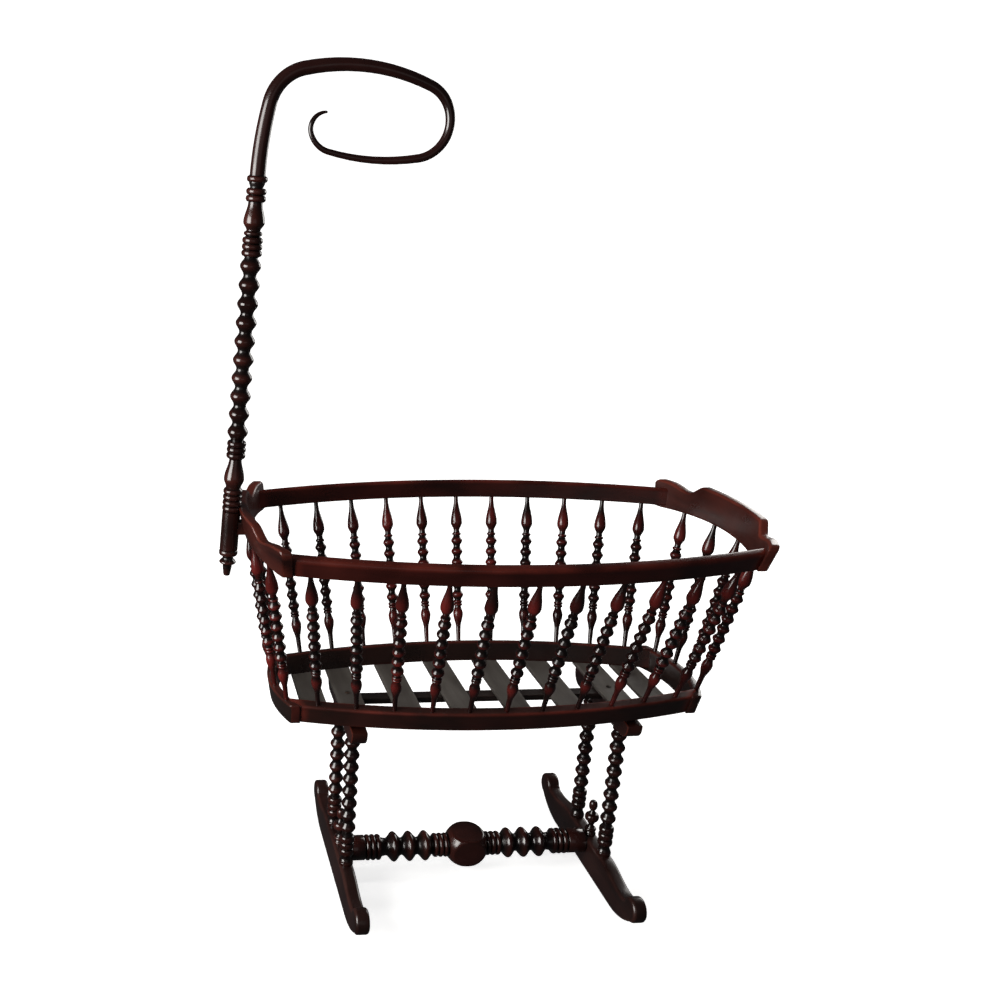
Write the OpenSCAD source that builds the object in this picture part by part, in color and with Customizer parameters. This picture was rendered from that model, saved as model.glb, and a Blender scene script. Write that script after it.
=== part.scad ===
// Swinging cradle on a trestle stand: a boat-shaped basket of turned spindles between bowed rails,
// bowed head and foot boards, a slatted floor, and a tall mast with a bent crook at the head.
// The head is at -X, the foot at +X, and Y runs across. Z = 0 is the floor, and the origin is the
// middle of the whole outline seen from above. The basket swings about the line of its keel.

/* [Basket] */
// Half the width between the spindle tops, at mid-length
half_width_top = 298.5; // [285:0.5:315]
// Half the width between the spindle feet, at mid-length
half_width_bottom = 183.5; // [172:0.5:195]
// Radius of the bow of the top rails, seen from above
bow_radius_top = 1490; // [1400:10:1700]
// Radius of the bow of the bottom rails, seen from above
bow_radius_bottom = 1595; // [1450:10:1800]
// Height from the bottom rails up to the underside of the top rails
spindle_rise = 332; // [300:1:350]

/* [Rails] */
// Height of a top rail, along its slope
top_rail_height = 42; // [34:1:50]
// Thickness of a top rail
top_rail_thickness = 23; // [20:0.5:28]
// Radius that rounds the upper edges of a top rail
top_rail_rounding = 7; // [3:0.5:9]
// Height of a bottom rail, along its slope
bottom_rail_height = 47; // [44:1:56]
// Thickness of a bottom rail
bottom_rail_thickness = 24; // [21:0.5:28]
// Thickness of the lip that hides the slat ends
rail_lip = 9; // [7:0.5:11]
// Length of the tenons at the rail ends
rail_tenon_length = 12; // [8:1:14]
// Shoulder on each side of a rail's tenon
rail_tenon_shoulder = 6; // [5:0.5:7]
// Shoulder above and below a rail's tenon
rail_tenon_edge = 12; // [10:0.5:14]

/* [Head and foot boards] */
// Distance from the stand's middle to a board's inner face, at its lower edge
board_reach = 528; // [518:1:540]
// Radius of the bow of the boards, seen from above
board_bow_radius = 580; // [540:10:700]
// Outward lean of the boards, in degrees
board_lean = 14; // [8:1:18]
// Thickness of the boards
board_thickness = 20; // [17:0.5:24]
// Height of the crest above the underside of the top rails
board_crest_rise = 72; // [66:1:80]
// Height of the ears above the underside of the top rails
board_ear_rise = 57; // [50:1:62]
// Height of the dips above the underside of the top rails
board_dip_rise = 48; // [42:1:52]
// How far the lower edge rises above the rails' underside, in the middle
board_arch = 5; // [2:0.5:8]
// How far an ear stands out past the top rail
board_ear_overhang = 9; // [4:0.5:14]
// Distance from the stand's middle to the inner face of a low end board
low_board_reach = 461; // [456:1:470]
// Radius of the bow of the low end boards
low_board_bow_radius = 276; // [250:1:320]
// Outward lean of the low end boards, in degrees
low_board_lean = 10; // [6:1:14]
// Thickness of the low end boards
low_board_thickness = 20; // [17:0.5:24]
// How far a low end board stands out past the bottom rail
low_board_overhang = 4; // [1:0.5:8]

/* [Spindles] */
// Number of spindles along each side
side_spindles = 11; // [7:2:13]
// Distance between the outermost side spindles at their tops
spindle_span_top = 884; // [840:1:900]
// Distance between the outermost side spindles at their feet
spindle_span_bottom = 795; // [760:1:810]
// Number of spindles at each end
end_spindles = 4; // [3:1:5]
// Distance between the outermost end spindles at their tops
end_span_top = 314; // [290:1:340]
// Distance between the outermost end spindles at their feet
end_span_bottom = 206; // [190:1:214]
// Diameter of the round beads and of the upper vase
spindle_bead_d = 27; // [24:0.5:30]
// Diameter between the beads
spindle_waist_d = 16; // [13:0.5:18]
// Diameter of the lower vase
spindle_low_vase_d = 23.5; // [21:0.5:26]
// Number of beads on each spindle
spindle_beads = 6; // [5:1:7]
// Diameter of the glued round tenons
spindle_tenon_d = 10; // [8:0.5:11]
// Length of the round tenons
spindle_tenon_length = 14; // [10:1:18]

/* [Floor] */
// Width of a floor slat
slat_width = 58; // [50:1:66]
// Thickness of a floor slat
slat_thickness = 8.5; // [7:0.5:12]
// Distance of the outermost slats from the stand's middle
end_slat_reach = 391; // [386:1:398]
// Width of the keel under the slats
keel_width = 31; // [26:1:40]
// Depth of the keel
keel_depth = 14; // [10:1:16]
// Diameter of the keel's round journals
journal_d = 16; // [14:0.5:20]
// Diameter of the screws' shanks
screw_d = 5; // [4:0.5:6]
// Diameter of the screws' heads
screw_head_d = 12; // [9:0.5:14]
// Height of the screws' heads
screw_head_height = 3; // [2:0.5:4]
// Diameter of the nails that hold the slats
nail_d = 3; // [2:0.5:4]
// Length of those nails
nail_length = 22; // [18:1:26]

/* [Mast] */
// Length of the turned mast, from its pendant to the crook
mast_length = 835; // [800:5:880]
// Lean of the mast towards the basket, in degrees
mast_lean = 3.2; // [2:0.1:4]
// How far the pendant hangs below the underside of the top rails
mast_drop = 86; // [80:1:92]
// Diameter of the plain part that is fixed to the headboard
mast_plain_d = 39; // [34:1:40]
// Diameter of the mast's beads
mast_bead_d = 43; // [38:1:48]
// Number of beads on the mast
mast_beads = 10; // [7:1:12]
// Thickness of the packing block between the headboard and the mast, at its mid-height
mast_block_depth = 8; // [6:0.5:12]
// Width of that block
mast_block_width = 26; // [20:1:30]
// Height of that block
mast_block_height = 28; // [24:1:32]
// Length of the screws that hold the mast
mast_screw_length = 48; // [44:1:52]

/* [Crook] */
// Diameter of the crook where it leaves the mast
crook_d = 33; // [28:1:34]
// Diameter of the crook at its tip
crook_tip_d = 9; // [7:0.5:12]
// Radius of the slight bow of its straight part
crook_shaft_radius = 740; // [700:10:800]
// Radius of its shoulder
crook_shoulder_radius = 86; // [78:1:94]
// Radius of its long bow at the top
crook_top_radius = 406; // [385:1:425]
// Radius of its turn at the far end
crook_far_radius = 71; // [66:1:76]
// Radius of its long bow underneath
crook_low_radius = 435; // [415:1:455]
// Radius of the curl
crook_curl_radius = 49; // [44:1:53]
// Radius of the curl's last part
crook_tip_radius = 31; // [28:1:34]
// Diameter of the tenon that holds the crook in the mast
crook_tenon_d = 15; // [12:1:16]
// Length of that tenon
crook_tenon_length = 40; // [30:1:50]

/* [Stand] */
// Height of the ridge of the stand's caps above the floor
stand_height = 461; // [430:1:480]
// Distance from the stand's middle to the middle of a cap and foot
trestle_reach = 306.5; // [300:0.5:312]
// Thickness of the caps
cap_thickness = 35; // [30:1:40]
// Length of a cap across the stand
cap_length = 304; // [280:2:320]
// Height of a cap at its ridge
cap_height = 48.5; // [44:0.5:54]
// Radius of the lower corners of a cap
cap_corner = 30; // [20:1:32]
// Distance from the middle of the stand to a post
post_offset = 81; // [74:1:90]
// Diameter of the posts' beads
post_bead_d = 35; // [32:1:40]
// Diameter between those beads
post_waist_d = 21; // [18:1:24]
// Number of beads on each post
post_beads = 8; // [6:1:9]
// Diameter of the posts' tenons
post_tenon_d = 16; // [12:1:18]
// Length of the posts' tenons
post_tenon_length = 22; // [16:1:26]
// Thickness of the feet
foot_thickness = 32; // [28:1:38]
// Length of a foot across the stand
foot_length = 580; // [540:5:620]
// Height of a foot in the middle
foot_height = 80; // [78:1:90]
// Height of a foot at the dip behind the toe
foot_dip_height = 64; // [58:1:70]
// Radius of the rounded toes
toe_radius = 28; // [25:1:30]
// Height of the toes' centres above the floor
toe_rise = 60; // [57:1:66]

/* [Stretcher and finials] */
// Height of the stretcher's axis above the floor
stretcher_height = 64; // [56:1:68]
// Diameter of the stretcher's middle ball
stretcher_ball_d = 106; // [90:1:110]
// Distance between opposite flats on that ball
stretcher_flats = 74; // [72:0.5:80]
// Turn of the flats about the stretcher, in degrees
stretcher_flats_turn = 9; // [0:1:15]
// Diameter of the stretcher's beads
stretcher_bead_d = 70; // [60:1:76]
// Diameter between the stretcher's beads
stretcher_waist_d = 40; // [34:1:46]
// Diameter of the stretcher's tenons
stretcher_tenon_d = 22; // [18:1:26]
// Length of the stretcher's tenons
stretcher_tenon_length = 10; // [8:0.5:10]
// Height of the finials on the feet
finial_height = 90; // [76:1:100]
// Diameter of a finial's middle disc
finial_disc_d = 33; // [28:1:38]
// Diameter of a finial's tenon
finial_tenon_d = 8; // [6:0.5:9]
// Length of a finial's tenon
finial_tenon_length = 14; // [10:1:18]

/* [Fits and swing] */
// Swing of the basket to each side, in degrees
swing_limit = 4.5; // [3:0.1:6]
// Gap left under the slats when the basket reaches its stop
swing_gap = 0.4; // [0.3:0.05:1]
// Radial clearance of the journals in their saddles
running_clearance = 0.08; // [0.03:0.01:0.1]
// Gap between the keel's shoulders and the caps
keel_end_gap = 0.5; // [0.3:0.1:1]
// Clearance of the glued tenons, screws and nails in their holes
glue_clearance = 0.05; // [0.02:0.01:0.1]
// Gap between the slat ends and the rails' lips
slat_end_gap = 0.3; // [0.2:0.1:1]

/* [Hidden] */
$fn = 96;
fine = 720; // fragments for the long bows
cut = 200; // reach of the cutting shapes
tenon_wall = 4; // wood between a spindle's tenon and a rail's tenon below it
over = 1; // how far a cut runs past a face
bore_turn = 35; // turns a leaning bore's seam away from the long axis of its rim

mahogany = [0.34, 0.14, 0.11];
dark_mahogany = [0.22, 0.11, 0.10];
slat_wood = [0.30, 0.28, 0.26];
iron = [0.25, 0.25, 0.26];

// Heights, from the floor up
axis_z = stand_height - (journal_d / 2 - swing_gap) / cos(swing_limit);
slat_under_z = axis_z + journal_d / 2;
slat_top_z = slat_under_z + slat_thickness;
cap_under_z = stand_height - cap_height;

// Bows of the rails: half-width at a place along the basket
function bow(half_width, radius, x) = half_width - radius + sqrt(radius * radius - x * x);
function top_y(x) = bow(half_width_top, bow_radius_top, x);
function low_y(x) = bow(half_width_bottom, bow_radius_bottom, x);
function side_lean_at(part) =
    atan((top_y(part * spindle_span_top / 2) - low_y(part * spindle_span_bottom / 2)) / spindle_rise);
side_lean = (side_lean_at(0) + side_lean_at(1)) / 2;

// The bottom rail's inner lower edge rests on the slats
foot_z = slat_top_z + bottom_rail_height * cos(side_lean) - bottom_rail_thickness / 2 * sin(side_lean);
top_z = foot_z + spindle_rise;

// Places on the cross-section of a leaning rail: out is square to the face, up is along it
function rail_out(out, up) = out * cos(side_lean) + up * sin(side_lean);
function rail_up(out, up) = up * cos(side_lean) - out * sin(side_lean);
lip_outer = rail_out(bottom_rail_thickness / 2, -bottom_rail_height);
lip_inner = lip_outer - rail_lip;

// Bowed boards: distance from the stand's middle at a height, a place across and a depth
function panel_reach(reach, radius, lean, rise, y, depth) =
    reach - radius + sqrt(pow(radius + rise * tan(lean) + depth / cos(lean), 2) - y * y);
board_under_z = top_z + board_arch;
function board_x(z, y, depth) =
    panel_reach(board_reach, board_bow_radius, board_lean, z - board_under_z, y, depth);
low_board_under_z = slat_under_z;
function low_board_x(z, y, depth) =
    panel_reach(low_board_reach, low_board_bow_radius, low_board_lean, z - low_board_under_z, y, depth);
crest_z = top_z + board_crest_rise;
corner_setback = 38; // from a board's reach back to its corners
// The lower edge of a board falls from the middle to the corner
corner_y = top_y(board_reach - corner_setback);
function board_edge_z(y) = board_under_z - 2 * board_arch * pow(y / corner_y, 2);
low_corner_setback = 27;
low_corner_y = low_y(low_board_reach - low_corner_setback);

// Floor and keel
slat_pitch = trestle_reach / 2.5;
half_places = [slat_pitch / 2, slat_pitch * 1.5, trestle_reach, end_slat_reach];
slat_places = concat(-half_places, half_places);
keel_half = trestle_reach - cap_thickness / 2 - keel_end_gap;
journal_end = trestle_reach + cap_thickness / 2;
nail_y_inset = (rail_out(-bottom_rail_thickness / 2, -bottom_rail_height) + lip_inner) / 2;

// Mast: its axis passes outside the block, at the block's mid-height
block_rise = 10; // above the underside of the top rails
block_under_z = top_z + block_rise;
block_top_z = block_under_z + mast_block_height;
block_mid_z = (block_under_z + block_top_z) / 2;
mast_mid_reach = board_x(block_mid_z, 0, board_thickness) + mast_block_depth + mast_plain_d / 2;
mast_tip_z = top_z - mast_drop;
mast_tip_reach = mast_mid_reach + (block_mid_z - mast_tip_z) * tan(mast_lean);
mast_ring_d = mast_plain_d + 1.5;
mast_ring_at = 54;

// Outline in X: from the mast's lowest ring at the head to the crest of the footboard
ring_reach = mast_tip_reach - mast_ring_at * sin(mast_lean) + mast_ring_d / 2 * cos(mast_lean);
crest_reach = board_x(crest_z, 0, board_thickness);
middle_shift = (ring_reach - crest_reach) / 2;

// ---- Turned profiles: lists of [radius, height], each leaving out its last point ----

// A rounded bead from z0 to z1 that swells from radius r0 to r1
function bead(z0, z1, r0, r1, steps = 6) =
    [for (k = [0:steps - 1]) let (t = 180 * k / steps - 90)
        [r0 + (r1 - r0) * cos(t), (z0 + z1) / 2 + (z1 - z0) / 2 * sin(t)]];
// A row of equal rounded beads
function bead_row(z0, z1, count, r0, r1, steps = 6) =
    [for (i = [0:count - 1])
        each bead(z0 + i * (z1 - z0) / count, z0 + (i + 1) * (z1 - z0) / count, r0, r1, steps)];
// A row of beads with hollow necks between them; a low fullness makes them rounder
function wave_row(z0, z1, count, r0, r1, fullness = 1, steps = 8) =
    [for (k = [0:count * steps - 1])
        [r0 + (r1 - r0) * pow((1 - cos(360 * k / steps)) / 2, fullness), z0 + (z1 - z0) * k / (count * steps)]];
// A smooth change from radius r0 to r1
function flow(z0, z1, r0, r1, steps = 5) =
    [for (k = [0:steps - 1]) [r0 + (r1 - r0) * (1 - cos(180 * k / steps)) / 2, z0 + (z1 - z0) * k / steps]];
// A half profile repeated on the other side of its middle
function both_ways(half) =
    concat([for (i = [len(half) - 1:-1:1]) [half[i][0], -half[i][1]]], half);
// An outline whose half starts and ends on the middle line, closed round its other side
function closed_outline(half) =
    concat(half, [for (i = [len(half) - 2:-1:1]) [-half[i][0], half[i][1]]]);

module turned(profile) {
    bottom = profile[0][1];
    top = profile[len(profile) - 1][1];
    rotate_extrude()
        polygon(concat([[0, bottom]], profile, [[0, top]]));
}

// Stands its child on point a with its Z axis towards point b
module from_to(a, b) {
    way = b - a;
    translate(a)
        rotate([0, acos(way[2] / norm(way)), atan2(way[1], way[0])])
            children();
}

// Repeats its child for the other end or side
module other_end() mirror([1, 0, 0]) children();
module other_side() mirror([0, 1, 0]) children();
module both_ends() {
    children();
    other_end() children();
}

// ---- Stand ----

module foot_outline() {
    toe_y = foot_length / 2 - toe_radius;
    sole_run = 95;
    dip_run = 57;
    slope_run = 105;
    flat_half = toe_y - sole_run;
    dip_start = toe_y - dip_run;
    slope_start = dip_start - slope_run;
    // The arc that leaves the floor level and runs in under the toe's rim
    inner = toe_radius - 3;
    sole_radius = (pow(sole_run, 2) + pow(toe_rise, 2) - pow(inner, 2)) / (2 * (toe_rise - inner));
    sole_turn = asin(sole_run / (sole_radius - inner));
    sole = [for (k = [0:4]) let (t = sole_turn * k / 4)
        [flat_half + sole_radius * sin(t), sole_radius * (1 - cos(t))]];
    back = [for (k = [0:8]) let (t = 180 * k / 8)
        [dip_start - (dip_start - slope_start) * k / 8,
         foot_dip_height + (foot_height - foot_dip_height) * (1 - cos(t)) / 2]];
    toe = [[toe_y, toe_rise], [toe_y, foot_dip_height]];
    polygon(closed_outline(concat([[0, 0]], sole, toe, back, [[0, foot_height]])));
    for (side = [-1, 1])
        translate([side * toe_y, toe_rise])
            circle(toe_radius);
}

// A foot: flat in the middle, with raised round toes
module foot() {
    color(dark_mahogany)
    difference() {
        translate([trestle_reach - foot_thickness / 2, 0, 0])
            rotate([90, 0, 90])
                linear_extrude(foot_thickness)
                    foot_outline();
        for (side = [-1, 1])
            translate([trestle_reach, side * post_offset, foot_height - post_tenon_length - glue_clearance])
                cylinder(r = post_tenon_d / 2 + glue_clearance, h = post_tenon_length + over);
        translate([trestle_reach, 0, foot_height - finial_tenon_length - glue_clearance])
            cylinder(r = finial_tenon_d / 2 + glue_clearance, h = finial_tenon_length + over);
        translate([trestle_reach - foot_thickness / 2 - over, 0, stretcher_height])
            rotate([0, 90, 0])
                cylinder(r = stretcher_tenon_d / 2 + glue_clearance,
                         h = stretcher_tenon_length + glue_clearance + over);
    }
}

// A cap: its top falls away from the ridge, so the basket can tip
module cap() {
    half = cap_length / 2;
    fall = half * tan(swing_limit);
    corner = [for (t = [0:15:90])
        [half - cap_corner + cap_corner * cos(t), cap_under_z + cap_corner - cap_corner * sin(t)]];
    half_outline = concat([[0, stand_height], [half, stand_height - fall]], corner, [[0, cap_under_z]]);
    color(dark_mahogany)
    difference() {
        translate([trestle_reach - cap_thickness / 2, 0, 0])
            rotate([90, 0, 90])
                linear_extrude(cap_thickness)
                    polygon(closed_outline(half_outline));
        // Open saddle for the keel's journal
        translate([trestle_reach - cap_thickness / 2 - over, 0, axis_z])
            rotate([0, 90, 0])
                cylinder(d = journal_d + 2 * running_clearance, h = cap_thickness + 2 * over);
        translate([trestle_reach - cap_thickness / 2 - over, -journal_d / 2 - running_clearance, axis_z])
            cube([cap_thickness + 2 * over, journal_d + 2 * running_clearance, journal_d]);
        for (side = [-1, 1])
            translate([trestle_reach, side * post_offset, cap_under_z - over])
                cylinder(r = post_tenon_d / 2 + glue_clearance, h = post_tenon_length + glue_clearance + over);
    }
}

// A turned post between a foot and a cap, at the foot end and back side
module post() {
    height = cap_under_z - foot_height;
    foot_collar = 5;
    taper_end = 19;
    rings_start = 24;
    rings_end = 74;
    base = 80;
    collar = 8;
    waist = post_waist_d / 2;
    belly = post_bead_d / 2;
    profile = concat(
        [[post_tenon_d / 2, -post_tenon_length], [post_tenon_d / 2, 0], [belly - 1, 0], [belly - 1, foot_collar]],
        flow(foot_collar + 2, taper_end, belly - 2, waist + 1.5),
        bead_row(rings_start, rings_end, 3, waist + 2, belly - 0.5),
        flow(rings_end, base, waist + 1, waist, 2),
        wave_row(base, height - collar, post_beads, waist, belly, 0.55),
        [[waist + 1, height - collar], [belly - 2.5, height - collar], [belly - 2.5, height],
         [post_tenon_d / 2, height], [post_tenon_d / 2, height + post_tenon_length]]);
    color(dark_mahogany)
    translate([trestle_reach, post_offset, foot_height])
        turned(profile);
}

// A small turned finial on a foot, between the posts
module finial() {
    disc = finial_disc_d / 2;
    knob = 10;
    low_neck = 6;
    high_neck = 4.5;
    base_end = 4;
    ring_start = 11;
    ring_end = 19;
    neck_end = 25;
    disc_start = 37;
    disc_end = 56;
    knob_start = 66;
    profile = concat(
        [[finial_tenon_d / 2, -finial_tenon_length], [finial_tenon_d / 2, 0]],
        [[disc - 3, 0], [disc - 3, base_end]],
        flow(base_end + 2, ring_start, disc - 4, disc - 6, 2),
        bead(ring_start, ring_end, disc - 6, disc - 3),
        flow(ring_end, neck_end, disc - 7, low_neck, 2),
        flow(neck_end, disc_start, low_neck, disc - 6.5),
        bead(disc_start, disc_end, disc - 6.5, disc),
        flow(disc_end, knob_start, disc - 8, high_neck, 3),
        bead(knob_start, finial_height, high_neck, knob, 8),
        [[knob / 5, finial_height]]);
    color(dark_mahogany)
    translate([trestle_reach, 0, foot_height])
        turned(profile);
}

// The turned stretcher that ties the two feet together
module lower_stretcher() {
    half = trestle_reach - foot_thickness / 2;
    belly = stretcher_bead_d / 2;
    waist = stretcher_waist_d / 2;
    ball = stretcher_ball_d / 2;
    ring = belly - 7;
    ball_end = sqrt(ball * ball - ring * ring);
    ball_turn = asin(ball_end / ball);
    beads_start = 82;
    beads_end = 196;
    rings_start = 208;
    rings_end = 246;
    profile = concat(
        [for (k = [0:7]) [ball * cos(ball_turn * k / 8), ball * sin(ball_turn * k / 8)]],
        bead_row(ball_end, beads_start, 3, waist + 1, ring),
        wave_row(beads_start, beads_end, 3, waist, belly),
        flow(beads_end, rings_start, waist, waist + 2, 2),
        bead_row(rings_start, rings_end, 3, waist + 3, belly - 5),
        [[waist + 4, rings_end], [ring, rings_end + 2], [ring + 1, rings_end + 6], [ring + 1, half - 3]],
        [[ring - 1, half], [stretcher_tenon_d / 2, half], [stretcher_tenon_d / 2, half + stretcher_tenon_length]]);
    color(dark_mahogany)
    translate([0, 0, stretcher_height])
        rotate([stretcher_flats_turn, 0, 0])
            difference() {
                rotate([0, 90, 0])
                    turned(both_ways(profile));
                for (turn = [0:90:270])
                    rotate([turn, 0, 0])
                        translate([-ball_end, -ball, stretcher_flats / 2])
                            cube([2 * ball_end, 2 * ball, ball]);
            }
}

// ---- Basket: bowed rails ----

// An arc seen from above, bowed to +Y, with its cross-section drawn about the spindle line
module bowed(half_width, radius, z) {
    half_turn = asin((board_reach + 40) / radius);
    translate([0, half_width - radius, z])
        rotate([0, 0, 90 - half_turn])
            rotate_extrude(angle = 2 * half_turn, $fn = fine)
                translate([radius, 0])
                    rotate(-side_lean)
                        children();
}

// A straight lower edge, and an upper one rounded at both corners
module top_rail_section() {
    half = top_rail_thickness / 2;
    corner = [for (t = [90:-22.5:0])
        [half - top_rail_rounding * (1 - cos(t)), top_rail_height - top_rail_rounding * (1 - sin(t))]];
    polygon(closed_outline(concat([[0, top_rail_height]], corner, [[half, 0], [0, 0]])));
}

// The tenon's section, inset from a rail's section by the shoulders
module tenon_section(thickness, low, high, clearance) {
    width = thickness - 2 * rail_tenon_shoulder + 2 * clearance;
    translate([-width / 2, low - clearance])
        square([width, high - low + 2 * clearance]);
}
module top_tenon(clearance)
    bowed(half_width_top, bow_radius_top, top_z)
        tenon_section(top_rail_thickness, rail_tenon_edge, top_rail_height - rail_tenon_edge, clearance);
module bottom_tenon(clearance)
    bowed(half_width_bottom, bow_radius_bottom, foot_z)
        tenon_section(bottom_rail_thickness, rail_tenon_edge - bottom_rail_height,
                      -spindle_tenon_length - tenon_wall, clearance);

// A bowed, leaning board about a vertical axis, from its inner face to the given thickness
module panel(reach, radius, lean, z, low, high, thickness, inner = 0) {
    slope = tan(lean);
    start = inner / cos(lean);
    deep = thickness / cos(lean);
    half_turn = 60;
    translate([reach - radius, 0, z])
        rotate([0, 0, -half_turn])
            rotate_extrude(angle = 2 * half_turn, $fn = fine)
                polygon([[radius + low * slope + start, low], [radius + low * slope + start + deep, low],
                         [radius + high * slope + start + deep, high], [radius + high * slope + start, high]]);
}
// How far the two kinds of board are drawn below and above their lower edges before they are cut to outline
board_range = [-100, 120];
low_board_range = [-40, 110];
// All that lies beyond a depth in the head or foot board
module beyond_board(depth)
    panel(board_reach, board_bow_radius, board_lean, board_under_z, board_range[0], board_range[1], cut, depth);
module beyond_low_board(depth)
    panel(low_board_reach, low_board_bow_radius, low_board_lean, low_board_under_z,
          low_board_range[0], low_board_range[1], cut, depth);

// Ends of side spindle i, counted from the head
function side_foot(i) =
    let (x = spindle_span_bottom * ((i - 1) / (side_spindles - 1) - 0.5)) [x, low_y(x), foot_z];
function side_top(i) =
    let (x = spindle_span_top * ((i - 1) / (side_spindles - 1) - 0.5)) [x, top_y(x), top_z];

// Bore for the tenon at end a of a spindle that runs to b
module spindle_bore(a, b)
    from_to(a, b)
        translate([0, 0, -spindle_tenon_length - glue_clearance])
            rotate([0, 0, bore_turn])
                cylinder(r = spindle_tenon_d / 2 + glue_clearance, h = spindle_tenon_length + 3 * over);

module top_rail() {
    color(mahogany)
    difference() {
        union() {
            difference() {
                bowed(half_width_top, bow_radius_top, top_z) top_rail_section();
                both_ends() beyond_board(0);
            }
            difference() {
                top_tenon(0);
                both_ends() beyond_board(rail_tenon_length);
            }
        }
        for (i = [1:side_spindles])
            spindle_bore(side_top(i), side_foot(i));
    }
}

// The lower edge is cut level, with a rebate for the slats behind its lip
module bottom_rail() {
    color(mahogany)
    difference() {
        union() {
            difference() {
                bowed(half_width_bottom, bow_radius_bottom, foot_z)
                    translate([-bottom_rail_thickness / 2, -bottom_rail_height])
                        square([bottom_rail_thickness, bottom_rail_height]);
                both_ends() beyond_low_board(0);
                translate([-cut * 3, 0, slat_under_z - cut])
                    cube([cut * 6, half_width_top, cut]);
                translate([0, half_width_bottom - bow_radius_bottom, slat_top_z - cut])
                    cylinder(r = bow_radius_bottom + lip_inner, h = cut, $fn = fine);
            }
            difference() {
                bottom_tenon(0);
                both_ends() beyond_low_board(rail_tenon_length);
            }
        }
        for (i = [1:side_spindles])
            spindle_bore(side_foot(i), side_top(i));
        for (x = slat_places)
            nail_hole(x);
    }
}

// ---- Basket: head and foot boards ----

// The outline of a board, seen along X: a crest, dips and ears over a shallow arch
module board_outline() {
    outer = corner_y + rail_out(top_rail_thickness / 2, 0) + board_ear_overhang;
    ear_z = top_z + board_ear_rise;
    dip_z = top_z + board_dip_rise;
    lean_out = tan(side_lean) * (ear_z - board_edge_z(corner_y));
    ear_width = 12;
    dip_setback = 76;
    fall = 40;
    dip_at = outer - dip_setback;
    crest_end = dip_at - fall;
    ear_start = outer - ear_width;
    ear_round = 10;
    steps = 7;
    crest = [for (k = [0:steps]) let (t = k / steps)
        [crest_end + (dip_at - crest_end) * t, dip_z + (crest_z - dip_z) * (1 + cos(180 * t)) / 2]];
    rise = [for (k = [1:steps]) let (t = k / steps)
        [dip_at + (ear_start - dip_at) * t, dip_z + (ear_z - dip_z) * (1 - cos(180 * t)) / 2]];
    ear = [for (t = [90:-22.5:0])
        [outer + lean_out - ear_round + ear_round * cos(t), ear_z - ear_round + ear_round * sin(t)]];
    edge = [for (k = [0:8]) let (y = outer * (1 - k / 8)) [y, board_edge_z(min(y, corner_y))]];
    polygon(closed_outline(concat([[0, crest_z]], crest, rise, ear, edge)));
}

// Ends of end spindle i, at the foot end
function end_y(span, i) = span * ((i - 1) / (end_spindles - 1) - 0.5);
function end_foot(i) = let (y = end_y(end_span_bottom, i))
    [low_board_x(foot_z, y, low_board_thickness / 2), y, foot_z];
function end_top(i) = let (y = end_y(end_span_top, i), z = board_edge_z(y))
    [board_x(z, y, board_thickness / 2), y, z];

module board_blank() {
    difference() {
        intersection() {
            panel(board_reach, board_bow_radius, board_lean, board_under_z,
                  board_range[0], board_range[1], board_thickness);
            rotate([90, 0, 90])
                linear_extrude(board_reach + cut)
                    board_outline();
        }
        for (i = [1:end_spindles])
            spindle_bore(end_top(i), end_foot(i));
        for (side = [0, 1])
            mirror([0, side, 0])
                difference() {
                    top_tenon(glue_clearance);
                    beyond_board(rail_tenon_length + glue_clearance);
                }
    }
}

module footboard()
    color(mahogany) board_blank();

module headboard() {
    color(mahogany)
    difference() {
        other_end() board_blank();
        mast_screw_holes();
    }
}

// A low board closes the basket's floor at one end
module low_board() {
    outer_low = low_corner_y + lip_outer + low_board_overhang;
    outer_high = low_corner_y + rail_out(bottom_rail_thickness / 2, 0) + low_board_overhang;
    color(mahogany)
    difference() {
        intersection() {
            panel(low_board_reach, low_board_bow_radius, low_board_lean, low_board_under_z,
                  low_board_range[0], low_board_range[1], low_board_thickness);
            rotate([90, 0, 90])
                linear_extrude(low_board_reach + cut)
                    polygon([[-outer_low, slat_under_z], [outer_low, slat_under_z],
                             [outer_high, foot_z], [-outer_high, foot_z]]);
        }
        for (i = [1:end_spindles])
            spindle_bore(end_foot(i), end_top(i));
        for (side = [0, 1])
            mirror([0, side, 0])
                difference() {
                    bottom_tenon(glue_clearance);
                    beyond_low_board(rail_tenon_length + glue_clearance);
                }
    }
}

// ---- Basket: spindles ----

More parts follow.
